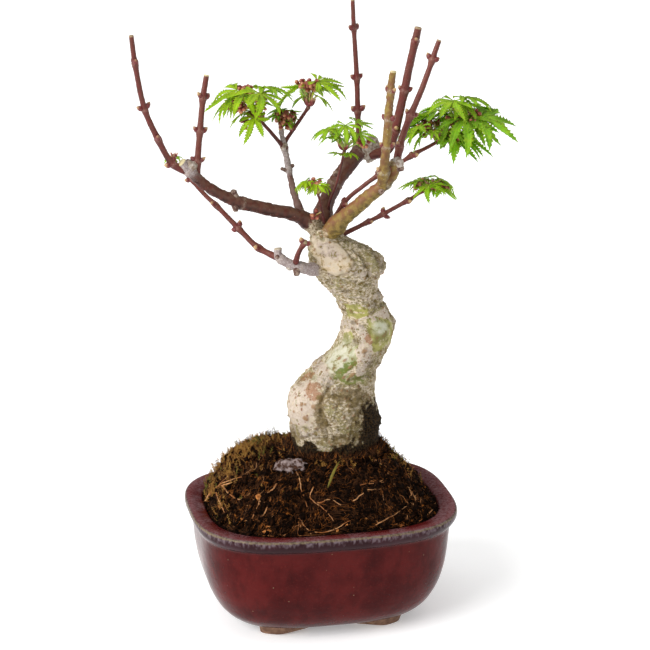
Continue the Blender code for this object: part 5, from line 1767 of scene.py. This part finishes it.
class StageSettings(bpy.types.PropertyGroup):
    floor: colour_setting("Floor", "The studio's pale floor", (0.9, 0.9, 0.9))
    key: bpy.props.FloatProperty(name="Key light", description="Light from the upper left", default=3.1)
    top: bpy.props.FloatProperty(name="Top light", description="Light from above", default=1.3)
    sides: bpy.props.FloatProperty(name="Side lights", description="Power of each", default=2.2, unit="POWER")
    sky: bpy.props.FloatProperty(name="Surround", description="How much light it gives", default=0.2)


class BONSAI_OT_pot(bpy.types.Operator):
    """Build the glazed pot and its bare clay feet"""
    bl_idname = "bonsai.pot"
    bl_label = "Pot"

    def execute(self, context):
        make_pot(context.scene.bonsai_pot)
        make_feet()
        return {"FINISHED"}


def open_soil(points):
    """How bare of moss the mound is at a point."""
    return 1 - 0.8 * mossy(points)


class BONSAI_OT_soil(bpy.types.Operator):
    """Build the mound of peat with its clods, fine roots and moss"""
    bl_idname = "bonsai.soil"
    bl_label = "Soil and moss"

    def execute(self, context):
        settings = context.scene.bonsai_soil
        make_soil()
        dark = peat_finish("dark_clods", (0.004, 0.0018, 0.0009), (0.035, 0.012, 0.004), 1.6)
        rusty = peat_finish("rusty_clods", (0.03, 0.01, 0.003), (0.36, 0.12, 0.022), 1.4)
        make_crumbs("dark_clods", 61, settings.crumbs, 0.3, 2.4, dark, open_soil)
        make_crumbs("rusty_clods", 62, settings.crumbs // 7, 0.25, 1.7, rusty, open_soil)
        fibre = plain_finish("rusty_fibre", (0.36, 0.12, 0.024), (0.06, 0.02, 0.006), 4.0, 0.8)
        dull = plain_finish("dark_fibre", (0.01, 0.004, 0.0018), (0.075, 0.028, 0.009), 4.0, 0.8)
        root = plain_finish("pale_rootlet", (0.6, 0.3, 0.13), (0.34, 0.12, 0.035), 7.0, 0.6)
        make_strands("rusty_fibres", 63, settings.fibres, 6, 6.0, 2.0, 0.22, 3, fibre, open_soil)
        make_strands("dark_fibres", 65, settings.fibres, 6, 8.0, 2.4, 0.3, 3, dull, open_soil)
        make_strands("fine_rootlets", 64, 90, 22, 20.0, 1.6, 0.42, 4, root, open_soil)
        make_rootlets(root)
        make_surface_root()
        make_bits()
        make_foot_fibres(dull, fibre, dark)
        make_moss(settings)
        return {"FINISHED"}


class BONSAI_OT_trunk(bpy.types.Operator):
    """Build the trunk with the relief and marks of its bark"""
    bl_idname = "bonsai.trunk"
    bl_label = "Trunk"

    def execute(self, context):
        make_trunk(context.scene.bonsai_bark)
        return {"FINISHED"}


def bark_surfaces():
    """The finish of each kind of limb, by the record's slot: its colour, its upper side's painted
    highlight, its flecks' and how rough it is."""
    kinds = {
        "brown_bark": ((0.095, 0.026, 0.017), (0.15, 0.07, 0.045), (0.42, 0.33, 0.25), 0.5),
        "grey_bark": ((0.14, 0.06, 0.05), (0.2, 0.12, 0.1), (0.45, 0.38, 0.3), 0.65),
        "olive_bark": ((0.25, 0.17, 0.04), (0.26, 0.1, 0.05), (0.6, 0.55, 0.46), 0.45),
        "red_bark": ((0.14, 0.028, 0.023), (0.2, 0.065, 0.045), (0.42, 0.25, 0.2), 0.4),
    }
    return {name: limb_finish(name + "_fine", *tones) for name, tones in kinds.items()}


class BONSAI_OT_limbs(bpy.types.Operator):
    """Build the boughs and shoots, their callus wood and their winter buds"""
    bl_idname = "bonsai.limbs"
    bl_label = "Boughs and shoots"

    def execute(self, context):
        surfaces = bark_surfaces()
        for name, limb in LIMBS.items():
            make_limb(name, limb, surfaces[limb["bark"]])
        make_burrs()
        make_stubs()
        make_buds(context.scene.bonsai_bark)
        make_stems(grown_masses(), surfaces["red_bark"])
        return {"FINISHED"}


class BONSAI_OT_foliage(bpy.types.Operator):
    """Build the leaves, their stalks, the opened buds' scales and the flower buds"""
    bl_idname = "bonsai.foliage"
    bl_label = "Foliage"

    def execute(self, context):
        settings = context.scene.bonsai_foliage
        tones = {name: leaf_finish("leaf_" + name, tuple(getattr(settings, name)))
                 for name in ("bright", "fresh", "deep")}
        grown = grown_masses()
        for name, (_, leaves, _) in grown.items():
            make_blades(name, leaves, tones)
        make_stalks(grown)
        make_scales(grown)
        make_flowers(grown)
        return {"FINISHED"}


class BONSAI_OT_stage(bpy.types.Operator):
    """Set up the camera, the pale floor and the soft lights"""
    bl_idname = "bonsai.stage"
    bl_label = "Stage"

    def execute(self, context):
        settings = context.scene.bonsai_stage
        make_camera()
        make_floor(tuple(settings.floor))
        make_world(settings.sky)
        aimed("key", "SUN", (-0.9, -0.8, 0.9), settings.key).angle = math.radians(40)
        aimed("top", "SUN", (0.1, 0.2, 1.4), settings.top).angle = math.radians(90)
        aimed("left_side", "AREA", (-1.0, 0.1, 0.4), settings.sides).size = 0.6
        aimed("right_side", "AREA", (1.0, 0.2, 0.4), settings.sides).size = 0.6
        return {"FINISHED"}


PIECES = (BONSAI_OT_stage, BONSAI_OT_pot, BONSAI_OT_soil, BONSAI_OT_trunk, BONSAI_OT_limbs,
          BONSAI_OT_foliage)


class BONSAI_PT_panel(bpy.types.Panel):
    """Lists the steps that build the bonsai, with their settings"""
    bl_label = "Potted maple bonsai"
    bl_idname = "BONSAI_PT_panel"
    bl_space_type = "VIEW_3D"
    bl_region_type = "UI"
    bl_category = "Bonsai"

    def draw(self, context):
        for step in PIECES:
            self.layout.operator(step.bl_idname, text=step.bl_label)
        for key, group in GROUPS.items():
            box = self.layout.box()
            for setting in group.__annotations__:
                box.prop(getattr(context.scene, key), setting)


GROUPS = {
    "bonsai_pot": PotSettings,
    "bonsai_bark": BarkSettings,
    "bonsai_foliage": FoliageSettings,
    "bonsai_soil": SoilSettings,
    "bonsai_stage": StageSettings,
}


def register():
    for group in (*GROUPS.values(), *PIECES, BONSAI_PT_panel):
        bpy.utils.register_class(group)
    for key, group in GROUPS.items():
        setattr(bpy.types.Scene, key, bpy.props.PointerProperty(type=group))


def unregister():
    for key in GROUPS:
        delattr(bpy.types.Scene, key)
    for group in (BONSAI_PT_panel, *reversed(PIECES), *reversed(GROUPS.values())):
        bpy.utils.unregister_class(group)


def main():
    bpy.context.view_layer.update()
    register()
    bpy.ops.bonsai.stage()
    bpy.ops.bonsai.pot()
    bpy.ops.bonsai.soil()
    bpy.ops.bonsai.trunk()
    bpy.ops.bonsai.limbs()
    bpy.ops.bonsai.foliage()


if __name__ == "__main__":
    main()
